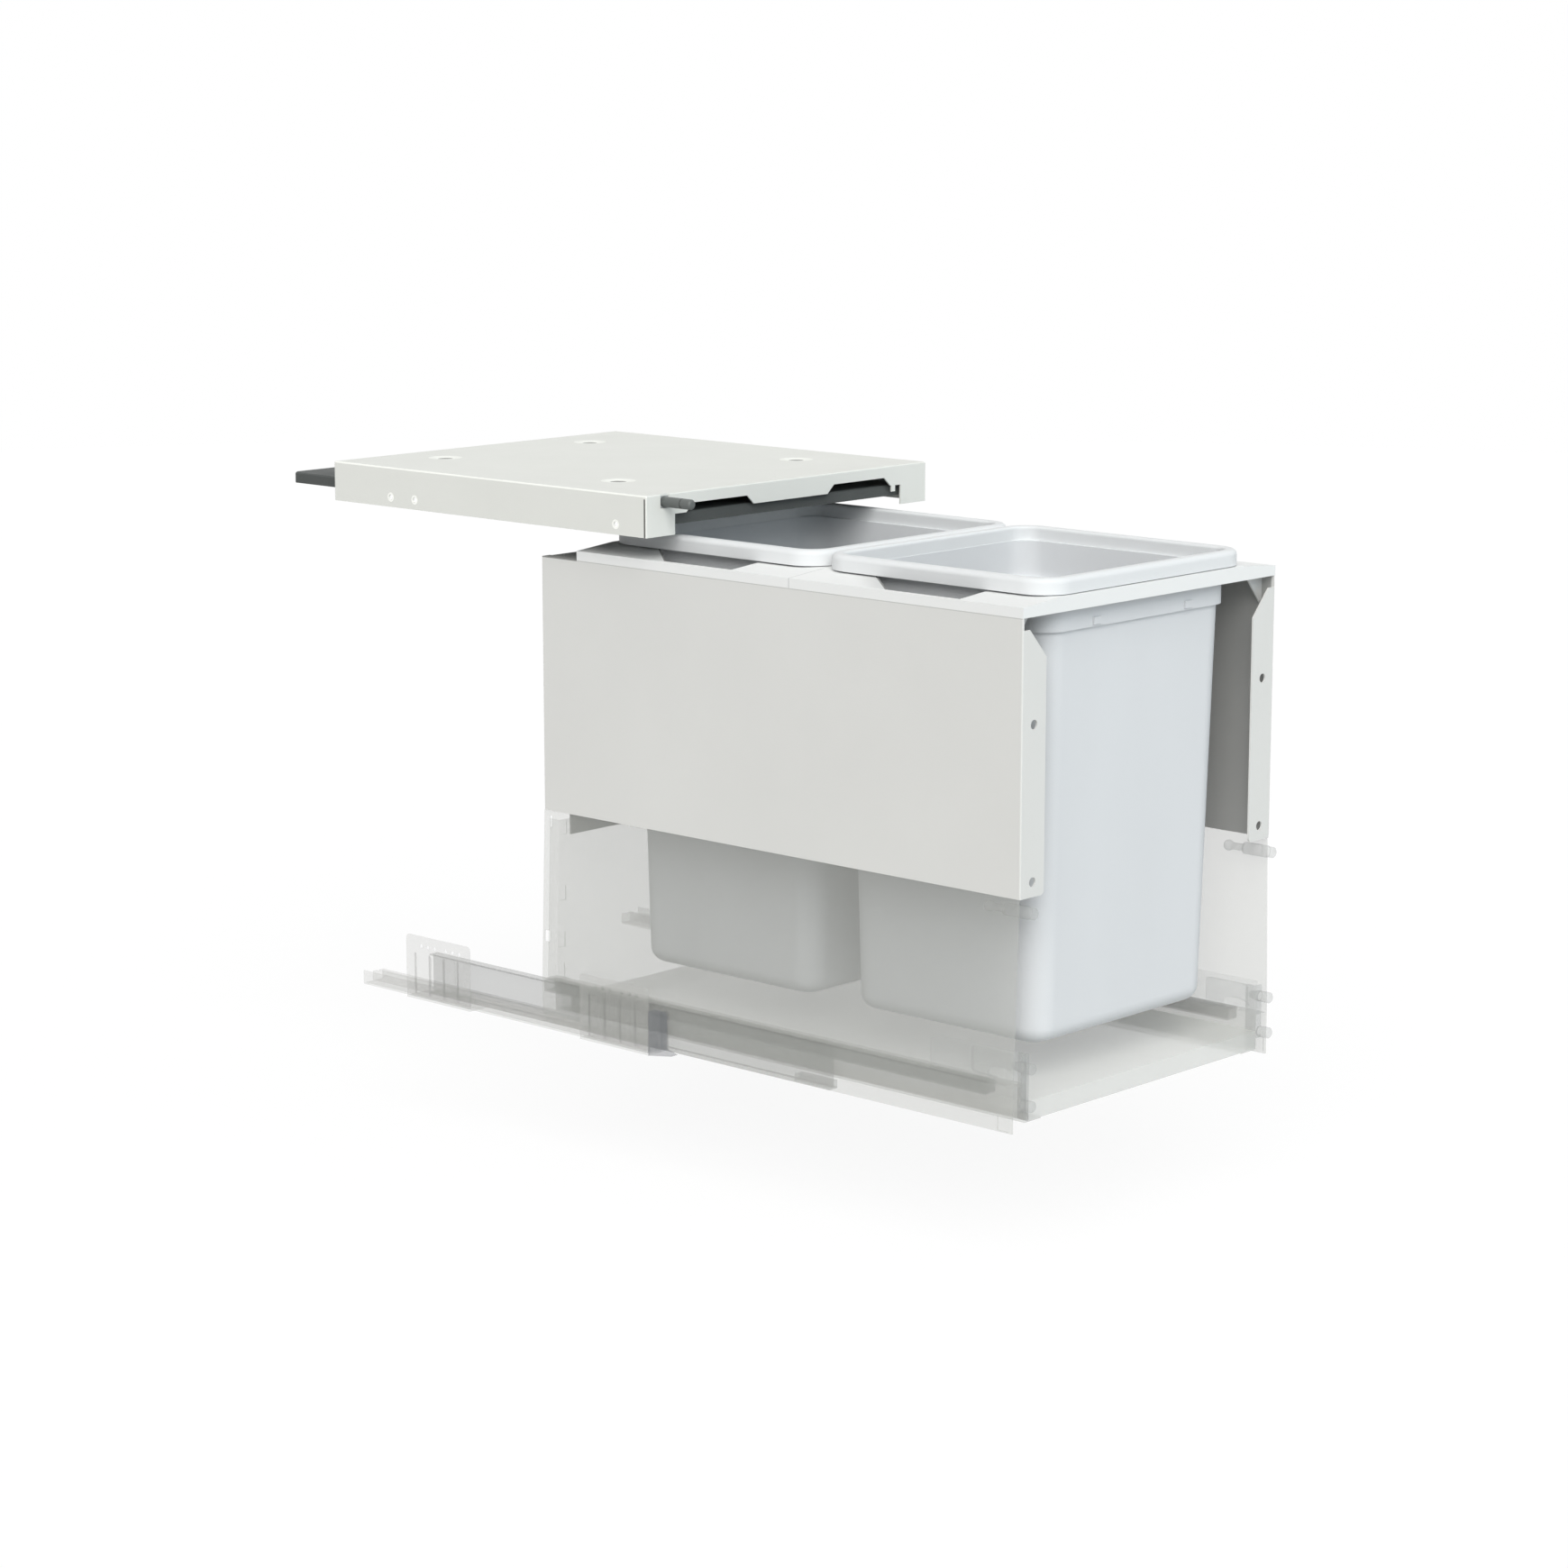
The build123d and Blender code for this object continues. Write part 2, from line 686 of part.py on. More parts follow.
def drawer_back_wall():
    """A wall with flanges turned back along the drawer's sides, and hooks that hold it to them."""
    start = back_face - sheet
    wall = bar(back_outline(0), (start, start + back_flange))
    wall -= bar(back_outline(sheet), (start + sheet, start + back_flange))
    for drop in hook_drops:
        z = side_bottom - drop
        hook = slab((wall_face(z), wall_face(z) + hook_width), (start - sheet, start), (z - hook_height, z))
        wall += both(hook)
    return wall


def front_block():
    """The block on the ledge that holds the front's fixings, with a recess for its cover cap."""
    top = ledge + front_block_height
    inner = -half_drawer + hollow_inset
    section = [(wall_face(ledge), ledge), (inner, ledge), (inner, top), (wall_face(top), top)]
    start = drawer_front + front_bracket_depth
    block = bar(section, (start, start + front_block_length))
    return block - cap_outline(cap_recess, 0) - adjuster_opening()


def cap_outline(depth, gap):
    y, z = drawer_front + cap_setback, ledge + front_block_height / 2
    outline = RectangleRounded(cap_length - 2 * gap, cap_height - 2 * gap, cap_radius - gap)
    return sunk(outline, y, z, depth)


def adjuster_opening():
    y, z = drawer_front + adjuster_setback, ledge + adjuster_rise
    return sunk(Ellipse(adjuster_half_length, adjuster_half_height), y, z, cap_recess + 2)


def sunk(outline, y, z, depth):
    """An outline carried outwards from the block's inner face, centred at a (y, z) place."""
    face = Plane(origin=(-half_drawer + hollow_inset, y, z), x_dir=(0, -1, 0), z_dir=(-1, 0, 0))
    return extrude(face * outline, depth)


def cover_cap():
    """The cap that clips into the recess, with a finger dimple and room for the adjuster."""
    cap = cap_outline(cap_recess, cap_gap) - cap_outline(cap_recess - cap_thickness, -1)
    y = drawer_front + cap_setback + cap_dimple_place[0]
    z = ledge + front_block_height / 2 + cap_dimple_place[1]
    dimple = sunk(Ellipse(*cap_dimple_radii), y, z, cap_recess - cap_thickness + cap_dimple_depth)
    return cap - dimple - adjuster_opening()


def peg_heights():
    middle = ledge - peg_centre_drop
    return middle + peg_half_rise, middle - peg_half_rise


def front_pegs():
    """Two dowel pegs for the drawer front; the upper one widens from its root in the block."""
    x = -half_drawer + peg_inset
    pegs = []
    for z in peg_heights():
        peg = rod(peg_radius, (x, drawer_front - peg_reach, z), (0, 1, 0), peg_reach)
        spigot = rod(peg_spigot_radius, (x, drawer_front, z), (0, 1, 0), sheet)
        pegs.append(chamfer(peg.edges().group_by(Axis.Y)[0], peg_chamfer) + spigot)
    root_length = front_bracket_depth - sheet
    root = Solid.make_cone(peg_radius, peg_root_radius, root_length,
                           Plane(origin=(x, drawer_front + sheet, peg_heights()[0]), z_dir=(0, 1, 0)))
    return Compound(children=[pegs[0] + root, pegs[1]])


def front_bracket():
    """The bent bracket that ties block, board and pegs together at the front end."""
    inner = -half_drawer + hollow_inset
    top = ledge + front_block_height
    depth = (drawer_front, drawer_front + front_bracket_depth)
    flange = slab((inner, inner + sheet), depth, (base_bottom, top))
    thickness = (drawer_front, drawer_front + sheet)
    web = slab((inner - front_web_width, inner), thickness, (ledge - front_web_drop, top))
    return flange + web - front_pegs()


def upper_connector():
    """The ball-ended rod and its bracket, which steady the drawer front high up."""
    x, z = -half_drawer + peg_inset, side_bottom - connector_drop
    sleeve_y, sleeve_end = drawer_front + connector_sleeve_start, drawer_front + connector_sleeve_end
    ball_y = drawer_front + connector_ball_setback
    peg_y = drawer_front - peg_reach
    body = rod(peg_radius, (x, peg_y, z), (0, 1, 0), sleeve_y - peg_y)
    body = chamfer(body.edges().group_by(Axis.Y)[0], peg_chamfer)
    body += rod(connector_sleeve_radius, (x, sleeve_y, z), (0, 1, 0), sleeve_end - sleeve_y)
    body += rod(connector_neck_radius, (x, sleeve_end, z), (0, 1, 0), ball_y - sleeve_end)
    body += Pos(x, ball_y, z) * Sphere(peg_radius)
    high, low = z + connector_foot_half_height, z - connector_foot_half_height
    foot = [(wall_face(high), high), (x, high), (x, low), (wall_face(low), low)]
    return body + bar(foot, [drawer_front + place for place in connector_foot_places])


# --- Runners ----------------------------------------------------------------------------------
def channel(base_z, up):
    """A lipped channel's outline about the runner's middle, open upwards (1) or downwards (-1)."""
    half, lip = channel_width / 2, channel_gap + runner_sheet / 2
    right = [
        (half, 0), (half, channel_height), (lip, channel_height), (lip, channel_height - runner_sheet),
        (half - runner_sheet, channel_height - runner_sheet), (half - runner_sheet, runner_sheet),
    ]
    left = [(-x, z) for x, z in reversed(right)]
    return [(x - runner_centre, base_z + up * z) for x, z in right + left]


def runner_levels():
    """Heights of the drawer channel's top and the cabinet channel's bottom."""
    return ledge - sheet, ledge - runner_drop


def drawer_member():
    top, _ = runner_levels()
    return bar(channel(top, -1), (drawer_front + runner_front_setback, drawer_back))


def middle_member():
    """A rolled I-section that joins the drawer's channel and the cabinet's."""
    top, bottom = runner_levels()
    high, low = top - runner_sheet - runner_play, bottom + runner_sheet + runner_play
    flange, web = channel_width / 2 - runner_sheet - middle_side_gap, runner_sheet / 2
    right = [
        (flange, high), (flange, high - runner_sheet), (web, high - runner_sheet),
        (web, low + runner_sheet), (flange, low + runner_sheet), (flange, low),
    ]
    outline = right + [(-x, z) for x, z in reversed(right)]
    y = (middle_front, middle_front + middle_length)
    return bar([(x - runner_centre, z) for x, z in outline], y)


def cabinet_runner():
    _, bottom = runner_levels()
    wall = half_cabinet - bracket_sheet
    y = (lid_front, lid_front + runner_length)
    profile = bar(channel(bottom, 1), y)
    profile += slab((-wall, -runner_centre), y, (bottom, bottom + runner_sheet))
    return profile + slab((-wall, -wall + runner_sheet), y, (bottom, bottom + runner_leg))


def cabinet_bracket(setback):
    """A plate on the cabinet's side with a foot under the runner and six screw holes."""
    _, bottom = runner_levels()
    y = (lid_front + setback, lid_front + setback + bracket_length)
    wall = half_cabinet - bracket_sheet
    foot = bottom - bracket_sheet
    body = slab((-half_cabinet, -wall), y, (foot, foot + bracket_height))
    body = fillet(body.edges().filter_by(Axis.X).group_by(Axis.Z)[-1], bracket_corner)
    body += slab((-wall, -runner_centre + channel_width / 2), y, (foot, bottom))
    for index in range(3):
        y_rib = y[0] + bracket_length / 4 + index * rib_pitch
        rib_z = (bottom + runner_leg, bottom + rib_top)
        body += slab((-wall, -wall + rib_depth), (y_rib, y_rib + rib_width), rib_z)
    for y_hole in bracket_hole_places(setback):
        start = (-half_cabinet - 1, y_hole, foot + bracket_height - bracket_hole_drop)
        body -= rod(bracket_hole_radius, start, (1, 0, 0), bracket_sheet + 2)
    return body


def runner_stop():
    """The moulded stop in front of the cabinet runner, with a ramp along its foot."""
    _, bottom = runner_levels()
    foot = bottom - bracket_sheet
    rear = lid_front
    front = rear - stop_length
    outline = [
        (rear, foot), (front - stop_ramp, foot + ramp_rise), (front, foot + ramp_top),
        (front, foot + stop_height), (rear, foot + stop_height),
    ]
    face = Plane(origin=(-half_cabinet, 0, 0), x_dir=(0, 1, 0), z_dir=(1, 0, 0))
    return extrude(face * make_face(Polyline(*outline, close=True)), stop_thickness)


def middle_glide():
    """Two moulded blocks beside the middle member's web, which guide its front end."""
    _, bottom = runner_levels()
    low = bottom + 2 * runner_sheet + runner_play
    half = channel_width / 2 - runner_sheet - middle_side_gap
    levels = (low, bottom + channel_height - runner_sheet - runner_play)
    y = (middle_front, middle_front + glide_length)
    web = runner_sheet / 2
    outer_block = slab((-runner_centre - half, -runner_centre - web), y, levels)
    inner_block = slab((-runner_centre + web, -runner_centre + half), y, levels)
    return outer_block + inner_block


def bracket_hole_places(setback):
    first = lid_front + setback + bracket_hole_setback
    starts = [first + group * bracket_hole_groups for group in range(2)]
    return [start + index * bracket_hole_pitch for start in starts for index in range(3)]


# --- The nodes --------------------------------------------------------------------------------
os.makedirs("parts", exist_ok=True)

save("lid_housing", lid_housing())
save("guide_blocks", guide_blocks())
save("rail_studs", rail_studs())
save("plunger_bush", plunger_bush())
save("closing_panel", closing_panel())
save("panel_trunnions", trunnions())
save("cam_rail_left", cam_rail() + plunger_arm())
save("cam_rail_right", flip(cam_rail()))
save("rail_cross_bar", cross_bar())
save("plunger", plunger())
save("frame_gussets", frame_gussets())
for name, start in zip(("front", "rear"), modules):
    save(f"frame_{name}", frame_module(start))
    save(f"bin_{name}", waste_bin(start))
    save(f"bag_ring_{name}", bag_ring(start))
save("drawer_base", drawer_base())
save("drawer_back", drawer_back_wall())
save_pair("side_panel", side_panel())
save_pair("drawer_side", drawer_side())
save_pair("drawer_member", drawer_member())
save_pair("front_block", front_block())
save_pair("front_bracket", front_bracket())
save_pair("front_pegs", front_pegs())
save_pair("cover_cap", cover_cap())
save_pair("upper_connector", upper_connector())
save_pair("middle_member", middle_member())
save_pair("middle_glide", middle_glide())
save_pair("cabinet_runner", cabinet_runner())
save_pair("runner_stop", runner_stop())
save_pair("bracket_front", cabinet_bracket(0))
save_pair("bracket_rear", cabinet_bracket(rear_bracket_setback))
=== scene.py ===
"""Looks of a pull-out waste unit: its finishes, its small extra pieces, the studio and the camera.

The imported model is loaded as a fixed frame, in metres. Every node keeps its mesh and gets a procedural
material. Pieces that are too fine for the frame are surfaces worked out with numpy. The drawer system is
drawn translucent, so that the bins show through it.
"""

import logging
import math
from abc import ABC, abstractmethod
from dataclasses import dataclass
from enum import Enum

import bpy
import numpy as np
from mathutils import Euler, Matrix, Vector


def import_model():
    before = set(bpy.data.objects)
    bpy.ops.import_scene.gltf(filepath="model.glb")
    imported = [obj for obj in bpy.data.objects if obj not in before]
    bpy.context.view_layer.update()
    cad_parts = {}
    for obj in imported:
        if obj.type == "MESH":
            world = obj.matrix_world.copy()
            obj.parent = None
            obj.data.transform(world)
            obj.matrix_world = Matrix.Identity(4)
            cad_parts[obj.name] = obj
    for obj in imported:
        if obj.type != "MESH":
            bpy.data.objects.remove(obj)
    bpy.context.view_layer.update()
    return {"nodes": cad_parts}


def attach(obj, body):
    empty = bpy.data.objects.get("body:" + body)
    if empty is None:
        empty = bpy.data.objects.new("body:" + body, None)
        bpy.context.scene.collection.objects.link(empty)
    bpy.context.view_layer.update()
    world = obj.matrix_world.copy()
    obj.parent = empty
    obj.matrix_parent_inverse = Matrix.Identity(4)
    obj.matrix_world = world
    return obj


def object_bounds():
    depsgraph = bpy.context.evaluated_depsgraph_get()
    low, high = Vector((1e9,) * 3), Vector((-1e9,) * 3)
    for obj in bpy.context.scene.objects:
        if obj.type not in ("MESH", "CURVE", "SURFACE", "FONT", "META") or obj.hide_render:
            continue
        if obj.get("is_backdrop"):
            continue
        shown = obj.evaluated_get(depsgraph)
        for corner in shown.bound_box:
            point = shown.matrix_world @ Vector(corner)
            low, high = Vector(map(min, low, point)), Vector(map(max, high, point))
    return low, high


log = logging.getLogger("waste_unit")

MM = 0.001

Rgb = tuple[float, float, float]
Span = tuple[float, float]

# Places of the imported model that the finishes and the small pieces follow, in metres.
SHEET = 1.5 * MM
LID_HALF_WIDTH = 182.0 * MM
LID_SCREWS = ((115.5 * MM, -101.0 * MM), (93.5 * MM, 147.0 * MM))
LID_SLIT_PLACE = -198.8 * MM
LID_SLIT_REACH = 0.9 * MM
LID_SLIT_TOP = -2.8 * MM
LID_SIDE_HOLES = (-164.0 * MM, 92.0 * MM, 124.0 * MM)
LID_SIDE_HOLE_HEIGHT = -27.0 * MM
# Radii below bound painted light: the highlight round a side hole and on a dimple, and the shade in a
# screw's bore; the fold's radius is the sheet's own.
HOLE_HIGHLIGHT_RADIUS = 4.2 * MM
FOLD_RADIUS = 1.4 * MM
DIMPLE_HIGHLIGHT_RADIUS = 15.5 * MM
SCREW_SHADE_RADIUS = 7.2 * MM
DRAWER_FRONT = -604.0 * MM
DRAWER_BACK = -58.0 * MM
DRAWER_HALF_WIDTH = 168.5 * MM
HALF_LENGTH = 251.0 * MM
FRAME_SEAM = -353.0 * MM
FRAME_REAR = -102.0 * MM
SEAM_REACH = 0.5 * MM
FRAME_EDGE = -56.9 * MM
SIDE_TOP = -65.3 * MM
JOINT_HEIGHT = 0.8 * MM
JOINT_DEPTH = 0.2 * MM
GRIP_OUTER = 165.5 * MM
GRIP_INNER = 122.0 * MM
GRIP_REAR_OUTER = 145.0 * MM
GRIP_REAR_INNER = 196.0 * MM
SCOOP_LENGTH = 34.0 * MM
GRIP_RIM = 2.4 * MM
GRIP_SLACK = 0.5 * MM
GRIP_DEPTH = 1.0 * MM
CABINET_WALL = 182.5 * MM
BRACKET_FRONTS = (-201.0 * MM, 27.0 * MM)
RUNNER_BOTTOM = -488.3 * MM
RETURN_EDGE = 158.5 * MM
BACK_FRONT = -77.0 * MM

# Factors on the tone where a mark lies: dark below 1, bright above it. The last two are for the insides of
# the side panels and for their rear returns, which the photo shows much darker.
# Painted light: the dimple, fold and hole factors are painted highlights, and the screw, slit, scoop, grip
# rim, inner and rear factors are painted shade. The seam and joint factors are dark joints.
DIMPLE_HIGHLIGHT_TONE = 1.16
SCREW_SHADE_TONE = 0.3
SLIT_SHADE_TONE = 0.25
FOLD_HIGHLIGHT_TONE = 1.2
HOLE_HIGHLIGHT_TONE = 1.3
SEAM_TONE = 0.72
SCOOP_SHADE_TONE = 0.8
GRIP_RIM_SHADE_TONE = 0.3
JOINT_TONE = 0.78
INNER_SHADE_TONE = 0.56
REAR_SHADE_TONE = 0.55

# Noises that no finish sets: waves per metre, and detail.
CLOUD_NOISE = (9.0, 3.0)
COAT_RUB_NOISE = (34.0, 4.0)
MOULD_RUB_NOISE = (22.0, 3.0)
FLOW_NOISE = (1.0, 2.0)
MOTTLE_NOISE = (60.0, 4.0)
PAPER_NOISE = (40.0, 3.0)

# Cells of the zinc's spangles per metre.
SPANGLES = 240.0

# Factors along X, Y and Z that stretch a pattern: a small one makes it long on that axis.
FLOW_STRETCH = (14.0, 14.0, 3.0)
LINE_STRETCH = (1.0, 0.02, 1.0)
PORE_STRETCH = (0.25, 1.0, 1.0)

# Where nearly all of a noise's values lie.
NOISE_RANGE = (0.3, 0.7)

# Height of the grain's cells against its fine noise.
CELL_HEIGHT = 0.6

# Distance of the nodes' columns in the node editor.
COLUMN_WIDTH = 220


class Side(Enum):
    """The two hands of a pair, with the sign of their X."""

    LEFT = -1.0
    RIGHT = 1.0


class Slot(Enum):
    """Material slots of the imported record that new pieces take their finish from."""

    WHITE_SHEET = "white_sheet"
    ZINC_STEEL = "zinc_steel"


class Body(Enum):
    """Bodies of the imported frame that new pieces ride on."""

    CABINET = "cabinet_fixed"
    DRAWER = "drawer"


def linear(tone: Rgb) -> tuple[float, float, float, float]:
    """Turn a colour as a paint chart gives it (0 to 255, sRGB) into Blender's linear colour.

    The curve is the sRGB standard's: a straight foot, and above it a power of 2.4.

    Args:
        tone: Red, green and blue as they are seen on a screen.

    Returns:
        Linear red, green, blue and an alpha of 1.
    """
    share = [value / 255 for value in tone]
    curve = [s / 12.92 if s <= 0.04045 else ((s + 0.055) / 1.055) ** 2.4 for s in share]
    return (*curve, 1.0)


# --- Node graphs ------------------------------------------------------------------------------
class Graph:
    """A node tree that is filled by short calls, laid out from left to right."""

    def __init__(self, tree: bpy.types.NodeTree) -> None:
        """Take an empty node tree."""
        self.tree = tree
        self.column = 0

    def node(self, kind: str, settings: dict | None = None, **inputs: object) -> bpy.types.Node:
        """Add a node.

        Args:
            kind: Blender's name of the node's type.
            settings: Properties of the node itself, such as its operation.
            inputs: Sockets by name, with underscores for spaces; a value or another node's socket.

        Returns:
            The new node.
        """
        made = self.tree.nodes.new(kind)
        made.location = (COLUMN_WIDTH * self.column, 0)
        self.column += 1
        for name, value in (settings or {}).items():
            setattr(made, name, value)
        for name, value in inputs.items():
            self.feed(made.inputs[name.replace("_", " ")], value)
        return made

    def feed(self, socket: bpy.types.NodeSocket, value: object) -> None:
        """Link a socket to another one, or set its value."""
        if isinstance(value, bpy.types.NodeSocket):
            self.tree.links.new(value, socket)
        else:
            socket.default_value = value

    def math(self, operation: str, *values: object) -> bpy.types.NodeSocket:
        """Add a Math node on one to three values and return its result."""
        made = self.node("ShaderNodeMath", {"operation": operation})
        for socket, value in zip(made.inputs, values):
            self.feed(socket, value)
        return made.outputs[0]

    def axes(self, place: bpy.types.NodeSocket) -> tuple[bpy.types.NodeSocket, ...]:
        """Return a place's distance from the middle plane, its Y and its Z."""
        split = self.node("ShaderNodeSeparateXYZ", Vector=place).outputs
        return self.math("ABSOLUTE", split["X"]), split["Y"], split["Z"]

    def near(self, value: object, centre: float, reach: float) -> bpy.types.NodeSocket:
        """Return 1 where a value lies within a reach of its centre, else 0."""
        return self.math("COMPARE", value, centre, reach)

    def all_of(self, *masks: bpy.types.NodeSocket) -> bpy.types.NodeSocket:
        """Return the product of masks."""
        product = masks[0]
        for mask in masks[1:]:
            product = self.math("MULTIPLY", product, mask)
        return product

    def shaded(self, tone: object, mask: bpy.types.NodeSocket, factor: float) -> bpy.types.NodeSocket:
        """Multiply a colour by a factor where a mask is 1, and leave it where the mask is 0."""
        return self.tinted(tone, self.math("MULTIPLY_ADD", mask, factor - 1.0, 1.0))

    def scaled(self, place: bpy.types.NodeSocket, factors: Rgb) -> bpy.types.NodeSocket:
        """Multiply a vector by three factors, which stretches a pattern along an axis."""
        made = self.node("ShaderNodeVectorMath", {"operation": "MULTIPLY"})
        self.feed(made.inputs[0], place)
        made.inputs[1].default_value = factors
        return made.outputs[0]

    def noise(self, place: bpy.types.NodeSocket, scale: object, detail: float) -> bpy.types.NodeSocket:
        """Add a Noise Texture on the given coordinates and return its factor."""
        return self.node("ShaderNodeTexNoise", Vector=place, Scale=scale, Detail=detail).outputs["Fac"]

    def ranged(
        self, value: bpy.types.NodeSocket, source: Span, target: tuple[object, object], ease: str = "LINEAR"
    ) -> bpy.types.NodeSocket:
        """Map a value from one range to another and stop at both ends.

        Args:
            value: The value to map.
            source: The range that it comes from.
            target: The range that it goes to, of which either end may be a socket.
            ease: Blender's name of the way from end to end.

        Returns:
            The mapped value.
        """
        made = self.node("ShaderNodeMapRange", {"interpolation_type": ease}, Value=value)
        for name, end in zip(("From Min", "From Max", "To Min", "To Max"), (*source, *target)):
            self.feed(made.inputs[name], end)
        return made.outputs["Result"]

    def spread(self, factor: bpy.types.NodeSocket, low: object, high: object) -> bpy.types.NodeSocket:
        """Map a noise factor, which stays near its middle, to the range from low to high."""
        return self.ranged(factor, NOISE_RANGE, (low, high))

    def tinted(self, tone: object, factor: bpy.types.NodeSocket) -> bpy.types.NodeSocket:
        """Multiply a colour by a grey factor."""
        made = self.node("ShaderNodeVectorMath", {"operation": "SCALE"})
        self.feed(made.inputs[0], tone)
        self.feed(made.inputs["Scale"], factor)
        return made.outputs[0]


def emptied(owner: bpy.types.Material | bpy.types.World) -> Graph:
    """Turn on the nodes of a material or a world, delete them and return a graph to fill."""
    owner.use_nodes = True
    owner.node_tree.nodes.clear()
    return Graph(owner.node_tree)


class SurfaceGroup(ABC):
    """A shader node group that several finishes share, built once.

    Its outputs are Colour, Roughness and Height, which change over the surface.

    Attributes:
        name: The group's name.
        values: Names of the number inputs that a finish sets, besides Place and Tone.
    """

    name: str
    values: tuple[str, ...] = ()

    def tree(self) -> bpy.types.NodeTree:
        """Return the group's node tree, built on first use."""
        found = bpy.data.node_groups.get(self.name)
        if found:
            return found
        made = bpy.data.node_groups.new(self.name, "ShaderNodeTree")
        inputs = {"Place": "Vector", "Tone": "Color"} | {value: "Float" for value in self.values}
        outputs = {"Colour": "Color", "Roughness": "Float", "Height": "Float"}
        for way, sockets in (("INPUT", inputs), ("OUTPUT", outputs)):
            for name, kind in sockets.items():
                made.interface.new_socket(name, in_out=way, socket_type=f"NodeSocket{kind}")
        graph = Graph(made)
        self.fill(graph, graph.node("NodeGroupInput").outputs)
        return made

    def worn(
        self, graph: Graph, given: bpy.types.NodeOutputs, loss: str, noise: bpy.types.NodeSocket
    ) -> bpy.types.NodeSocket:
        """Return the tone, darkened where a noise is low.

        Args:
            graph: The graph to add to.
            given: The group's inputs, with the tone.
            loss: Name of the input that holds the greatest loss of tone.
            noise: The noise's factor.

        Returns:
            The changed colour.
        """
        least = graph.math("SUBTRACT", 1.0, given[loss])
        return graph.tinted(given["Tone"], graph.spread(noise, least, 1.0))

    def close(self, graph: Graph, colour: object, roughness: object, height: object) -> None:
        """Put the three results on the group's output."""
        graph.node("NodeGroupOutput", Colour=colour, Roughness=roughness, Height=height)

    @abstractmethod
    def fill(self, graph: Graph, given: bpy.types.NodeOutputs) -> None:
        """Add the group's own nodes between its input and its output."""


class OrangePeel(SurfaceGroup):
    """Powder coat: a fine orange-peel height, faint clouds of tone and a roughness that wanders."""

    name = "orange_peel"
    values = ("Peel Scale", "Cloud", "Gloss Low", "Gloss High")

    def fill(self, graph: Graph, given: bpy.types.NodeOutputs) -> None:
        """Join the coat's colour, roughness and height."""
        self.close(graph, self.clouds(graph, given), self.rub(graph, given), self.peel(graph, given))

    def peel(self, graph: Graph, given: bpy.types.NodeOutputs) -> bpy.types.NodeSocket:
        """Height of the peel: fine noise."""
        return graph.noise(given["Place"], given["Peel Scale"], detail=1.5)

    def clouds(self, graph: Graph, given: bpy.types.NodeOutputs) -> bpy.types.NodeSocket:
        """Colour: the tone, darkened by Cloud where broad noise is low."""
        return self.worn(graph, given, "Cloud", graph.noise(given["Place"], *CLOUD_NOISE))

    def rub(self, graph: Graph, given: bpy.types.NodeOutputs) -> bpy.types.NodeSocket:
        """Roughness: it wanders between the coat's two values."""
        rub = graph.noise(given["Place"], *COAT_RUB_NOISE)
        return graph.spread(rub, given["Gloss Low"], given["Gloss High"])


class LidSkin(OrangePeel):
    """Powder coat of the lid housing, with painted highlights on its dimples, folds and holes and painted
    shade in its bores and corners.
    """

    name = "lid_skin"

    def fill(self, graph: Graph, given: bpy.types.NodeOutputs) -> None:
        """Add marks over the powder coat.

        A painted highlight on a dimple lies where the distance in plan from a screw's place is under the
        highlight's radius, and painted shade in the screw's bore where it is under the shade's radius.
        Painted shade in an open corner slit is a narrow band of Y on the side faces. A painted highlight on
        the side fold is where both the height and the side lie within the fold's radius of the edge. A
        painted highlight round a side hole lies where the distance from the hole is under its radius.
        """
        height = self.peel(graph, given)
        colour = self.clouds(graph, given)
        x, y, z = graph.axes(given["Place"])
        aways = [self.away(graph, x, y, *place) for place in LID_SCREWS]
        away = graph.math("MINIMUM", *aways)
        # Painted highlight on each screw's dimple, then painted shade in its bore.
        colour = graph.shaded(colour, graph.math("LESS_THAN", away, DIMPLE_HIGHLIGHT_RADIUS), DIMPLE_HIGHLIGHT_TONE)
        colour = graph.shaded(colour, graph.math("LESS_THAN", away, SCREW_SHADE_RADIUS), SCREW_SHADE_TONE)
        side = graph.math("GREATER_THAN", x, LID_HALF_WIDTH - FOLD_RADIUS)
        # Painted shade in the open corner slit, on the side faces.
        slit = graph.near(y, LID_SLIT_PLACE, LID_SLIT_REACH)
        low = graph.math("LESS_THAN", z, LID_SLIT_TOP)
        colour = graph.shaded(colour, graph.all_of(side, slit, low), SLIT_SHADE_TONE)
        # Painted highlight along the side fold.
        fold = graph.math("GREATER_THAN", z, -FOLD_RADIUS)
        colour = graph.shaded(colour, graph.all_of(side, fold), FOLD_HIGHLIGHT_TONE)
        # Painted highlight round each side hole.
        for hole in LID_SIDE_HOLES:
            around = self.away(graph, y, z, hole, LID_SIDE_HOLE_HEIGHT)
            hole_highlight = graph.math("LESS_THAN", around, HOLE_HIGHLIGHT_RADIUS)
            colour = graph.shaded(colour, graph.all_of(side, hole_highlight), HOLE_HIGHLIGHT_TONE)
        self.close(graph, colour, self.rub(graph, given), height)

    def away(
        self, graph: Graph, u: bpy.types.NodeSocket, v: bpy.types.NodeSocket, at_u: float, at_v: float
    ) -> bpy.types.NodeSocket:
        """Return the distance from a place on one of the axes' planes.

        Args:
            graph: The graph to add to.
            u: The surface's first coordinate in that plane.
            v: Its second coordinate.
            at_u: The place's first coordinate.
            at_v: Its second coordinate.

        Returns:
            The root of the sum of both differences' squares.
        """
        gaps = (graph.math("SUBTRACT", u, at_u), graph.math("SUBTRACT", v, at_v))
        squares = [graph.math("POWER", gap, 2.0) for gap in gaps]
        return graph.math("SQRT", graph.math("ADD", *squares))


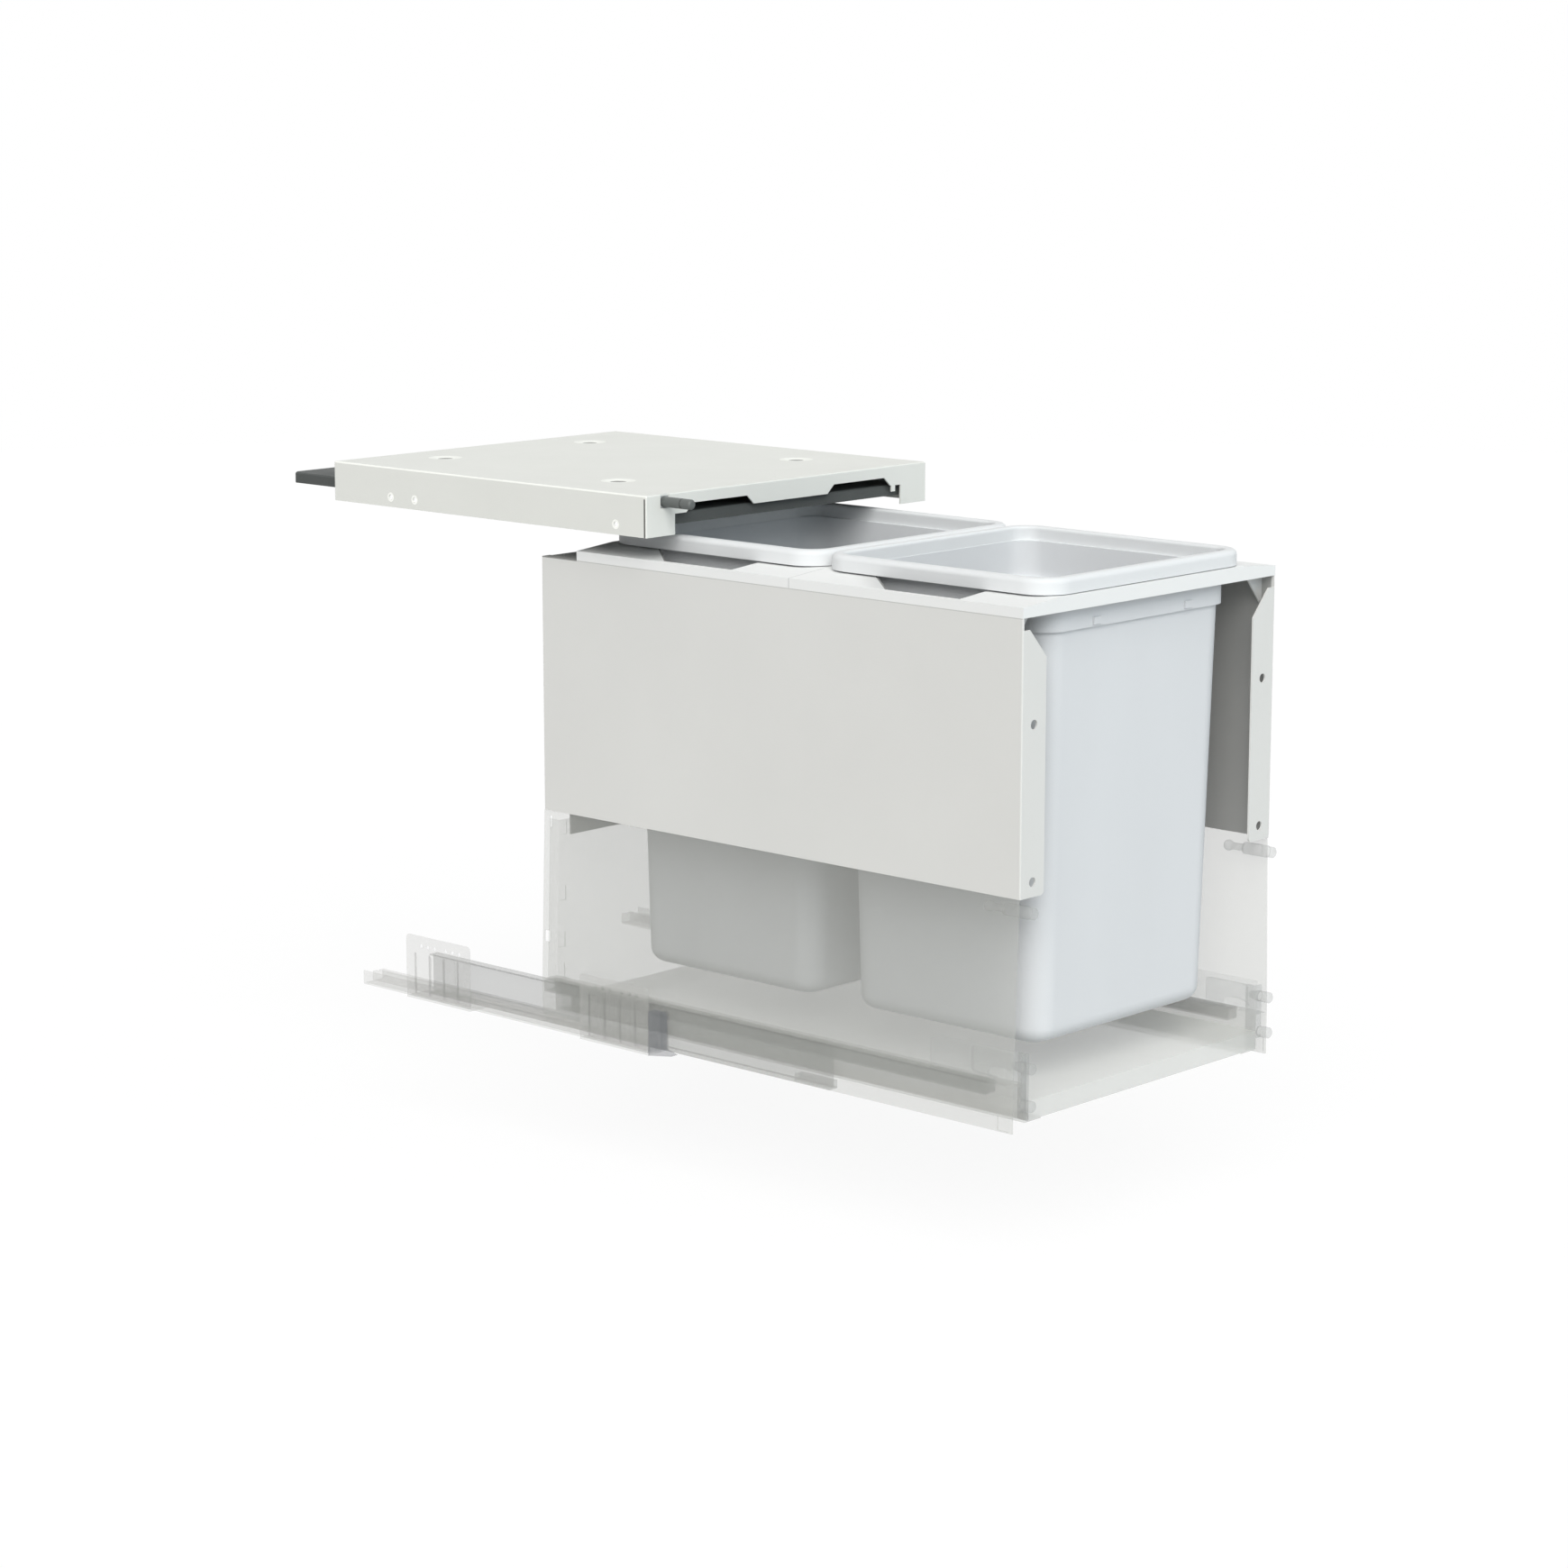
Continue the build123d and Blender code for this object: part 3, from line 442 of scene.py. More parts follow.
class FrameSkin(OrangePeel):
    """Powder coat of the top frame, with the seam between its halves and painted shade in the scoops behind
    its grips.
    """

    name = "frame_skin"

    def fill(self, graph: Graph, given: bpy.types.NodeOutputs) -> None:
        """Add marks over the powder coat.

        The seam is a narrow band of Y. The painted shade of a scoop starts at a grip's slanted rear edge,
        where Y grows in proportion to the distance from the skirt. It has a dark rim of painted shade and
        gets lighter over its length. Both halves of the frame have the same marks, because Y is taken
        modulo the length of a half.
        """
        height = self.peel(graph, given)
        colour = self.clouds(graph, given)
        x, y, z = graph.axes(given["Place"])
        colour = graph.shaded(colour, graph.near(y, FRAME_SEAM, SEAM_REACH), SEAM_TONE)
        # Painted shade in the scoop behind each grip.
        along = graph.math("MODULO", graph.math("SUBTRACT", y, DRAWER_FRONT), HALF_LENGTH)
        slant = (GRIP_REAR_INNER - GRIP_REAR_OUTER) / (GRIP_OUTER - GRIP_INNER)
        edge = graph.math("MULTIPLY_ADD", x, -slant, GRIP_REAR_OUTER + slant * GRIP_OUTER)
        beyond = graph.math("SUBTRACT", along, edge)
        fade = graph.ranged(beyond, (0.0, SCOOP_LENGTH), (1.0, 0.0), "SMOOTHSTEP")
        behind = graph.math("GREATER_THAN", beyond, -GRIP_SLACK)
        across = graph.near(x, (GRIP_OUTER + GRIP_INNER) / 2, (GRIP_OUTER - GRIP_INNER) / 2)
        top = graph.math("GREATER_THAN", z, FRAME_EDGE - GRIP_DEPTH)
        colour = graph.shaded(colour, graph.all_of(fade, behind, across, top), SCOOP_SHADE_TONE)
        # Darker painted shade along the grip's rear edge.
        rim = graph.near(beyond, GRIP_RIM / 2, GRIP_RIM / 2)
        colour = graph.shaded(colour, graph.all_of(rim, across, top), GRIP_RIM_SHADE_TONE)
        self.close(graph, colour, self.rub(graph, given), height)


class PanelSkin(OrangePeel):
    """Powder coat of the side panels: painted shade inside and on the rear returns, with the fine joint
    under the frame's skirt.
    """

    name = "panel_skin"

    def fill(self, graph: Graph, given: bpy.types.NodeOutputs) -> None:
        """Darken bands of the colour.

        The joint is a band of the outer faces, narrower than a millimetre, at the panel's top edge. The
        inside, darkened as painted shade, is all that lies more than half a sheet within the outer faces,
        below the top return and behind the front flange. The rear returns, darkened as the lid's painted
        shade, are the top faces behind the frame.
        """
        height = self.peel(graph, given)
        colour = self.clouds(graph, given)
        x, y, z = graph.axes(given["Place"])
        outer = graph.math("GREATER_THAN", x, DRAWER_HALF_WIDTH - JOINT_DEPTH)
        joint = graph.math("GREATER_THAN", z, SIDE_TOP - JOINT_HEIGHT)
        colour = graph.shaded(colour, graph.all_of(outer, joint), JOINT_TONE)
        # Painted shade on the inside of the panel.
        inner = graph.math("LESS_THAN", x, DRAWER_HALF_WIDTH - SHEET / 2)
        behind = graph.math("GREATER_THAN", y, DRAWER_FRONT + 2 * SHEET)
        below = graph.math("LESS_THAN", z, SIDE_TOP - SHEET / 2)
        colour = graph.shaded(colour, graph.all_of(inner, behind, below), INNER_SHADE_TONE)
        # Painted shade of the lid on the rear returns.
        rear = graph.math("GREATER_THAN", y, FRAME_REAR)
        colour = graph.shaded(colour, graph.all_of(rear, joint), REAR_SHADE_TONE)
        self.close(graph, colour, self.rub(graph, given), height)


class MouldGrain(SurfaceGroup):
    """Moulded plastic: spark-eroded grain, soft flow marks along Z and slightly polished patches."""

    name = "mould_grain"
    values = ("Grain Scale", "Flow", "Gloss Low", "Gloss High")

    def fill(self, graph: Graph, given: bpy.types.NodeOutputs) -> None:
        """Height is fine cells plus fine noise; flow marks are noise that is stretched along Z."""
        place = given["Place"]
        cells = graph.node("ShaderNodeTexVoronoi", Vector=place, Scale=given["Grain Scale"])
        fine = graph.noise(place, given["Grain Scale"], detail=2.0)
        height = graph.math("ADD", graph.math("MULTIPLY", cells.outputs["Distance"], CELL_HEIGHT), fine)
        flow = graph.noise(graph.scaled(place, FLOW_STRETCH), *FLOW_NOISE)
        colour = self.worn(graph, given, "Flow", flow)
        rub = graph.noise(place, *MOULD_RUB_NOISE)
        self.close(graph, colour, graph.spread(rub, given["Gloss Low"], given["Gloss High"]), height)


class RollingLines(SurfaceGroup):
    """Cold-rolled or drawn steel: fine lines along Y, with spangles of the zinc under them."""

    name = "rolling_lines"
    values = ("Line Scale", "Spangle", "Gloss Low", "Gloss High")

    def fill(self, graph: Graph, given: bpy.types.NodeOutputs) -> None:
        """Height is noise that is stretched fifty times along Y; spangles are cells of random tone."""
        place = given["Place"]
        lines = graph.noise(graph.scaled(place, LINE_STRETCH), given["Line Scale"], detail=3.0)
        cells = graph.node("ShaderNodeTexVoronoi", Vector=place, Scale=SPANGLES).outputs["Color"]
        flake = graph.node("ShaderNodeSeparateColor", Color=cells).outputs[0]
        least = graph.math("SUBTRACT", 1.0, given["Spangle"])
        colour = graph.tinted(given["Tone"], graph.ranged(flake, (0.0, 1.0), (least, 1.0)))
        self.close(graph, colour, graph.spread(lines, given["Gloss Low"], given["Gloss High"]), lines)


class BoardSkin(SurfaceGroup):
    """White melamine on board: shallow pores and a very faint mottle."""

    name = "board_skin"
    values = ("Pore Scale", "Mottle", "Gloss Low", "Gloss High")

    def fill(self, graph: Graph, given: bpy.types.NodeOutputs) -> None:
        """Height is short pores along X; the tone is darkened by Mottle where fine noise is low."""
        place = given["Place"]
        pores = graph.noise(graph.scaled(place, PORE_STRETCH), given["Pore Scale"], detail=4.0)
        mottle = graph.noise(place, *MOTTLE_NOISE)
        colour = self.worn(graph, given, "Mottle", mottle)
        self.close(graph, colour, graph.spread(pores, given["Gloss Low"], given["Gloss High"]), pores)


# --- Finishes ---------------------------------------------------------------------------------
@dataclass(frozen=True)
class Finish:
    """A surface finish, from which one material is built.

    Attributes:
        name: The material's name.
        tone: Its colour as sRGB, 0 to 255.
        group: The pattern that it shares with other finishes.
        pattern: The group's first value, the scale of the pattern in waves per metre.
        variation: The group's second value, the largest loss of tone.
        gloss: Least and greatest roughness over the surface.
        bump: Depth of the pattern in metres.
        cover: Alpha of each face. A thin wall has two faces, so it hides 1 - (1 - cover) squared.
        shine: Specular level; 0.5 is what most paints and plastics have.
    """

    name: str
    tone: Rgb
    group: SurfaceGroup
    pattern: float
    variation: float
    gloss: Span
    bump: float
    cover: float = 1.0
    shine: float = 0.5

    def material(self) -> bpy.types.Material:
        """Return the finish's material, built on first use.

        Returns:
            A Principled material whose colour, roughness and normal come from the shared group.
        """
        found = bpy.data.materials.get(self.name)
        if found:
            return found
        made = bpy.data.materials.new(self.name)
        graph = emptied(made)
        place = graph.node("ShaderNodeTexCoord").outputs["Object"]
        pattern = graph.node("ShaderNodeGroup", {"node_tree": self.group.tree()}, Place=place)
        pattern.inputs["Tone"].default_value = linear(self.tone)
        values = (self.pattern, self.variation, *self.gloss)
        for name, value in zip(self.group.values, values):
            pattern.inputs[name].default_value = value
        relief = graph.node("ShaderNodeBump", Height=pattern.outputs["Height"], Distance=self.bump)
        shader = graph.node(
            "ShaderNodeBsdfPrincipled",
            Base_Color=pattern.outputs["Colour"],
            Roughness=pattern.outputs["Roughness"],
            Normal=relief.outputs["Normal"],
            Alpha=self.cover,
            Specular_IOR_Level=self.shine,
        )
        graph.node("ShaderNodeOutputMaterial", Surface=shader.outputs[0])
        return made

    def dress(self, *pieces: bpy.types.Object) -> None:
        """Give this finish to each piece, in place of what it had."""
        for piece in pieces:
            piece.data.materials.clear()
            piece.data.materials.append(self.material())


# Specular level of coats and mouldings with a matt texture.
MATT = 0.2

# Faces that a line of sight may pass on its way through the translucent drawer.
LAYERS_SEEN = 32

# Scales of the patterns, in waves per metre.
PEEL = 900
SOFT_GRAIN = 1100
BIN_GRAIN = 1300
FINE_GRAIN = 1500
ROLLED = 2600
PORES = 700

# Depths of the patterns.
LINE_DEPTH = 0.03 * MM
THIN_DEPTH = 0.05 * MM
COAT_DEPTH = 0.06 * MM
BIN_DEPTH = 0.07 * MM
RAIL_DEPTH = 0.1 * MM
PANEL_DEPTH = 0.12 * MM

# How much one face of a translucent piece hides.
WALL_COVER = 0.25
BOARD_COVER = 0.45
GHOST_COVER = 0.25
PLATE_COVER = 0.18
CAP_COVER = 0.13
STOP_COVER = 0.32
BEAD_COVER = 0.2

# Each has its name, tone, group, pattern, variation, gloss and bump, then what differs from the default.
LID_SHEET = Finish(
    "lid_powder_coat", (230, 231, 226), LidSkin(), PEEL, 0.025, (0.46, 0.58), COAT_DEPTH, shine=MATT
)
PANEL_SHEET = Finish(
    "side_powder_coat", (223, 223, 220),
    PanelSkin(), PEEL, 0.025, (0.48, 0.6), COAT_DEPTH, shine=MATT
)
FRAME_SHEET = Finish(
    "frame_powder_coat", (239, 240, 239),
    FrameSkin(), PEEL, 0.02, (0.44, 0.56), COAT_DEPTH, shine=MATT
)
PLAIN_SHEET = Finish(
    "plain_powder_coat", (223, 223, 221),
    OrangePeel(), PEEL, 0.025, (0.48, 0.6), COAT_DEPTH, shine=MATT
)
# Grey tone of the rear bridge and rail: painted shade of the lid on the sheet.
REAR_SHADE_SHEET = Finish(
    "rear_shaded_coat", (160, 161, 158), OrangePeel(), PEEL, 0.025, (0.42, 0.55), COAT_DEPTH
)
INNER_SHEET = Finish(
    "inner_fittings_zinc", (170, 172, 172), RollingLines(), ROLLED, 0.1, (0.34, 0.5), LINE_DEPTH
)
RING_PLASTIC = Finish(
    "ring_moulding", (228, 230, 231),
    MouldGrain(), FINE_GRAIN, 0.015, (0.42, 0.54), THIN_DEPTH, shine=MATT
)
BIN_PLASTIC = Finish(
    "bin_moulding", (221, 223, 225),
    MouldGrain(), BIN_GRAIN, 0.025, (0.46, 0.6), BIN_DEPTH, shine=MATT
)
DARK_PLASTIC = Finish(
    "panel_moulding", (84, 87, 86),
    MouldGrain(), SOFT_GRAIN, 0.12, (0.55, 0.72), PANEL_DEPTH, shine=MATT
)
BLACK_PLASTIC = Finish(
    "rail_moulding", (38, 40, 41), MouldGrain(), SOFT_GRAIN, 0.12, (0.45, 0.6), RAIL_DEPTH
)
PLUNGER_PLASTIC = Finish(
    "plunger_moulding", (94, 98, 96), MouldGrain(), FINE_GRAIN, 0.1, (0.36, 0.5), COAT_DEPTH
)
GHOST_BACK = Finish(
    "back_coat", (196, 197, 192),
    OrangePeel(), PEEL, 0.02, (0.4, 0.5), THIN_DEPTH, cover=PLATE_COVER
)
GHOST_WALL = Finish(
    "wall_coat", (206, 207, 202), OrangePeel(), PEEL, 0.02, (0.4, 0.5), THIN_DEPTH, cover=WALL_COVER
)
GHOST_BOARD = Finish(
    "board_laminate", (228, 229, 225),
    BoardSkin(), PORES, 0.02, (0.45, 0.55), THIN_DEPTH, cover=BOARD_COVER
)
GHOST_RUNNER = Finish(
    "runner_zinc", (138, 140, 137),
    RollingLines(), ROLLED, 0.06, (0.4, 0.55), LINE_DEPTH, cover=GHOST_COVER
)
GHOST_PLATE = Finish(
    "bracket_zinc", (205, 205, 201),
    RollingLines(), ROLLED, 0.05, (0.4, 0.55), LINE_DEPTH, cover=PLATE_COVER
)
GHOST_PLASTIC = Finish(
    "fixing_moulding", (190, 192, 190),
    MouldGrain(), FINE_GRAIN, 0.05, (0.4, 0.55), THIN_DEPTH, cover=GHOST_COVER
)
GHOST_CAP = Finish(
    "cap_moulding", (206, 208, 206),
    MouldGrain(), FINE_GRAIN, 0.04, (0.36, 0.48), THIN_DEPTH, cover=CAP_COVER
)
STOP_PLASTIC = Finish(
    "stop_moulding", (132, 135, 141),
    MouldGrain(), FINE_GRAIN, 0.08, (0.4, 0.55), THIN_DEPTH, cover=STOP_COVER
)
# The beads are pressed in the bracket's zinc; their darker tone is painted shade along the ribs.
BEAD_SHADE_ZINC = Finish(
    "bead_shaded_zinc", (120, 121, 118),
    RollingLines(), ROLLED, 0.06, (0.4, 0.55), LINE_DEPTH, cover=BEAD_COVER
)


# --- New pieces -------------------------------------------------------------------------------
# Points on the quarter or half circle of an outline.
ARC_POINTS = 9


def carried(name: str, outline: np.ndarray, stations: np.ndarray, scales: np.ndarray) -> bpy.types.Object:
    """Carry a closed outline through stations and cap both ends.

    Point (i, j) is station i plus scale i times outline point j. Each quad joins two neighbours of the
    outline with the same two at the next station.

    Args:
        name: The piece's name.
        outline: Offsets of the outline's points, k rows of (x, y, z), anticlockwise as seen from the end.
        stations: Where the outline goes, n rows of (x, y, z).
        scales: The outline's scale at each station, n values.

    Returns:
        The new piece, at the origin, with its place in its mesh.
    """
    count, rows = len(outline), len(stations)
    points = stations[:, None, :] + scales[:, None, None] * outline[None, :, :]
    index = np.arange(count * rows).reshape(rows, count)
    after = np.roll(index, -1, axis=1)
    quads = np.stack([index[:-1], after[:-1], after[1:], index[1:]], axis=-1).reshape(-1, 4)
    caps = [index[0, ::-1].tolist(), index[-1].tolist()]
    mesh = bpy.data.meshes.new(name)
    mesh.from_pydata(points.reshape(-1, 3).tolist(), [], quads.tolist() + caps)
    piece = bpy.data.objects.new(name, mesh)
    bpy.context.scene.collection.objects.link(piece)
    return piece


def finished(piece: bpy.types.Object, finish: Finish, body: Body) -> None:
    """Dress a new piece and let it ride on its body.

    Args:
        piece: The new piece.
        finish: Its finish.
        body: The body that it moves with.
    """
    finish.dress(piece)
    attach(piece, body.value)
    log.info("%s: %s, %d faces", piece.name, finish.name, len(piece.data.polygons))


# --- Sub-assemblies ---------------------------------------------------------------------------
@dataclass
class Dresser:
    """Gives CAD nodes their finishes and reports them.

    Attributes:
        nodes: The CAD nodes by name.
    """

    nodes: dict[str, bpy.types.Object]

    def dress(self, finish: Finish, *names: str) -> None:
        """Give a finish to nodes; a name that ends in an underscore stands for left and right."""
        for name in names:
            ends = [side.name.lower() for side in Side] if name.endswith("_") else [""]
            for end in ends:
                finish.dress(self.nodes[name + end])
                log.info("%s: %s", name + end, finish.name)


@dataclass
class Lid:
    """The sheet housing with the closing panel and the rails that lower it."""

    dresser: Dresser

    def build(self) -> None:
        """Dress the housing, its fittings, the panel and the rails."""
        self.dresser.dress(LID_SHEET, "lid_housing")
        self.dresser.dress(INNER_SHEET, "guide_blocks", "rail_studs", "plunger_bush")
        self.dresser.dress(DARK_PLASTIC, "closing_panel", "panel_trunnions")
        self.dresser.dress(BLACK_PLASTIC, "cam_rail_", "rail_cross_bar")
        self.dresser.dress(PLUNGER_PLASTIC, "plunger")


@dataclass
class Frame:
    """The top frame, its gussets, the tall side panels and what joins them at the rear.

    Attributes:
        dresser: What dresses the CAD nodes.
        fold: Middle radius of a sheet's fold.
        bridge_drop: Depth of the bridge's rear edge.
        bridge_gap: Its distance from the side panels' returns, and the rail's from the drawer's back.
        rail_top: Height of the rear rail's top.
        rail_bottom: Height of its lower edge, which shows below the side panels.
        rail_flange: Width of its flange, towards the front.
        rail_half_width: Half its length.
    """

    dresser: Dresser
    fold: float = 2.0 * MM
    bridge_drop: float = 14.0 * MM
    bridge_gap: float = 0.2 * MM
    rail_top: float = -284.0 * MM
    rail_bottom: float = -314.0 * MM
    rail_flange: float = 12.0 * MM
    rail_half_width: float = 156.0 * MM

    def build(self) -> None:
        """Dress the frame's two halves, the gussets and both side panels, and make the rear sheets."""
        self.dresser.dress(FRAME_SHEET, "frame_front", "frame_rear")
        self.dresser.dress(PLAIN_SHEET, "frame_gussets")
        self.dresser.dress(PANEL_SHEET, "side_panel_")
        # The rear sheets' grey coat is painted shade of the lid.
        for piece in (self.bridge(), self.rail()):
            finished(piece, REAR_SHADE_SHEET, Body.DRAWER)

    def bridge(self) -> bpy.types.Object:
        """Make the sheet that fills the place between the side panels' top returns, behind the frame."""
        rear = DRAWER_BACK - SHEET / 2
        level = SIDE_TOP - SHEET / 2
        length = rear - FRAME_REAR
        reach = RETURN_EDGE - self.bridge_gap
        return self.folded("rear_bridge", (rear, level), length, self.bridge_drop, reach)

    def rail(self) -> bpy.types.Object:
        """Make the rail in front of the drawer's back, whose lower edge shows under the side panel."""
        corner = (BACK_FRONT - SHEET / 2 - self.bridge_gap, self.rail_top)
        drop = self.rail_top - self.rail_bottom
        return self.folded("rear_rail", corner, self.rail_flange, drop, self.rail_half_width)

    def folded(
        self, name: str, corner: Span, length: float, drop: float, reach: float
    ) -> bpy.types.Object:
        """Make a sheet that lies level and then folds down.

        The middle line in Y and Z is a straight run, a quarter circle and a straight drop. The outline is
        that line moved half a sheet along its normal, out along one side and back along the other. It is
        carried along X.

        Args:
            name: The piece's name.
            corner: Y and Z where the two runs would meet.
            length: Length of the level run.
            drop: Length of the run that goes down.
            reach: Half the piece's length along X.

        Returns:
            The folded sheet, closed at both ends.
        """
        rear, level = corner
        turn = np.linspace(np.pi / 2, 0, ARC_POINTS)
        across = np.stack([np.cos(turn), np.sin(turn)], axis=1)
        arc = self.fold * across + (rear - self.fold, level - self.fold)
        line = np.vstack([(rear - length, level), arc, (rear, level - drop)])
        normal = np.vstack([(0.0, 1.0), across, (1.0, 0.0)])
        sides = [line + sign * SHEET / 2 * normal for sign in (1, -1)]
        closed = np.vstack([sides[0], sides[1][::-1]])
        outline = np.column_stack([np.zeros(len(closed)), closed])[::-1]
        ends = np.array([(-reach, 0.0, 0.0), (reach, 0.0, 0.0)])
        return carried(name, outline, ends, np.ones(2))


@dataclass
class Bins:
    """Two bins and the rings that hold their bags."""

    dresser: Dresser

    def build(self) -> None:
        """Dress the bins and their rings."""
        self.dresser.dress(BIN_PLASTIC, "bin_front", "bin_rear")
        self.dresser.dress(RING_PLASTIC, "bag_ring_front", "bag_ring_rear")


@dataclass
class DrawerSystem:
    """The translucent drawer below the frame: sides, board, back, fixings and runners.

    Attributes:
        dresser: What dresses the CAD nodes.
        bead_setbacks: Places of a bracket's pressed beads, from its front edge.
        bead_radius: Half a bead's width.
        bead_rise: How far it stands out, against its radius.
        bead_levels: Heights of a bead's ends over the runner's bottom.
        bead_rounds: Stations of each round end, as shares of the radius.
    """

    dresser: Dresser
    bead_setbacks: tuple[float, ...] = (17.4 * MM, 36.0 * MM, 55.2 * MM, 74.4 * MM)
    bead_radius: float = 1.3 * MM
    bead_rise: float = 0.5
    bead_levels: Span = (3.0 * MM, 42.0 * MM)
    bead_rounds: tuple[float, float, int] = (0.02, 1.0, 6)

    def build(self) -> None:
        """Dress every translucent piece and make the brackets' beads."""
        for side in Side:
            for row, front in zip(("front", "rear"), BRACKET_FRONTS):
                for index, setback in enumerate(self.bead_setbacks):
                    name = f"bead_{row}_{side.name.lower()}_{index}"
                    bead = self.bead(name, side, front + setback)
                    finished(bead, BEAD_SHADE_ZINC, Body.CABINET)
        self.dresser.dress(GHOST_WALL, "drawer_side_")
        self.dresser.dress(GHOST_BACK, "drawer_back")
        self.dresser.dress(GHOST_BOARD, "drawer_base")
        self.dresser.dress(GHOST_RUNNER, "drawer_member_", "middle_member_")
        self.dresser.dress(GHOST_PLATE, "cabinet_runner_", "bracket_front_", "bracket_rear_")
        self.dresser.dress(GHOST_CAP, "front_block_", "cover_cap_")
        self.dresser.dress(GHOST_PLASTIC, "front_bracket_", "front_pegs_", "upper_connector_")
        self.dresser.dress(GHOST_PLASTIC, "middle_glide_")
        self.dresser.dress(STOP_PLASTIC, "runner_stop_")

    def bead(self, name: str, side: Side, y: float) -> bpy.types.Object:
        """Make one pressed bead on the inner face of a bracket.

        The outline is a half circle that stands on the face, squashed to half its height. It is carried
        up the face. Near each end its scale is the root of 1 - t squared, where t falls from 1 to 0 over
        the radius, so that the end is round.

        Args:
            name: The piece's name.
            side: The cabinet's side.
            y: The bead's place along the bracket.

        Returns:
            The bead, closed at both ends.
        """
        turn = np.linspace(-np.pi / 2, np.pi / 2, ARC_POINTS)
        rise = -side.value * self.bead_rise * self.bead_radius * np.cos(turn)
        outline = np.column_stack([rise, self.bead_radius * np.sin(turn), np.zeros_like(turn)])
        low, high = (RUNNER_BOTTOM + level for level in self.bead_levels)
        share = np.linspace(*self.bead_rounds)
        z = np.concatenate([low + self.bead_radius * share, high - self.bead_radius * share[::-1]])
        scale = np.sqrt(1 - (1 - share) ** 2)
        stations = np.column_stack([np.full_like(z, side.value * CABINET_WALL), np.full_like(z, y), z])
        if side is Side.RIGHT:
            outline = outline[::-1]
        return carried(name, outline, stations, np.concatenate([scale, scale[::-1]]))


# --- Studio and camera ------------------------------------------------------------------------
@dataclass
class PhotoCamera:
    """The photograph's viewpoint: a long lens from the front left, a little above the housing.

    Attributes:
        position: Where the lens stands, in metres.
        pitch: How far the camera looks down, in degrees.
        heading: Turn from +Y towards +X, in degrees.
        lens: Focal length, in millimetres.
        sensor: Width of the sensor, in millimetres.
        clip: Nearest and farthest distance that it sees, in metres.
    """

    position: tuple[float, float, float] = (-2.56075, -2.55535, 0.4002)
    pitch: float = 10.98
    heading: float = 47.3
    lens: float = 90.85
    sensor: float = 36.0
    clip: Span = (0.05, 30.0)

    def build(self) -> None:
        """Make the camera and name it as the scene's camera."""
        data = bpy.data.cameras.new("photo_camera")
        data.lens = self.lens
        data.sensor_width = self.sensor
        data.clip_start, data.clip_end = self.clip
        camera = bpy.data.objects.new("photo_camera", data)
        camera.location = self.position
        camera.rotation_euler = Euler((math.radians(90 - self.pitch), 0.0, math.radians(-self.heading)))
        bpy.context.scene.collection.objects.link(camera)
        bpy.context.scene.camera = camera


@dataclass
class Lamp:
    """A broad, far lamp.

    Attributes:
        name: The lamp's name.
        power: Its irradiance, in watts per square metre.
        source: The direction that it shines from.
        spread: Its apparent size in degrees, which softens shadows.
        tint: Its colour, linear.
    """

    name: str
    power: float
    source: tuple[float, float, float]
    spread: float
    tint: Rgb

    def build(self) -> None:
        """Make the lamp and aim it at the object."""
        data = bpy.data.lights.new(self.name, "SUN")
        data.energy = self.power
        data.angle = math.radians(self.spread)
        data.color = self.tint
        lamp = bpy.data.objects.new(self.name, data)
        lamp.rotation_euler = Vector(self.source).to_track_quat("Z", "Y").to_euler()
        bpy.context.scene.collection.objects.link(lamp)


KEY_LAMP = Lamp("key_lamp", 2.5, (-0.55, -0.52, 0.65), 50.0, (1.0, 0.995, 0.98))
FRONT_LAMP = Lamp("front_lamp", 0.58, (0.12, -1.0, 0.1), 70.0, (0.6, 0.86, 1.0))


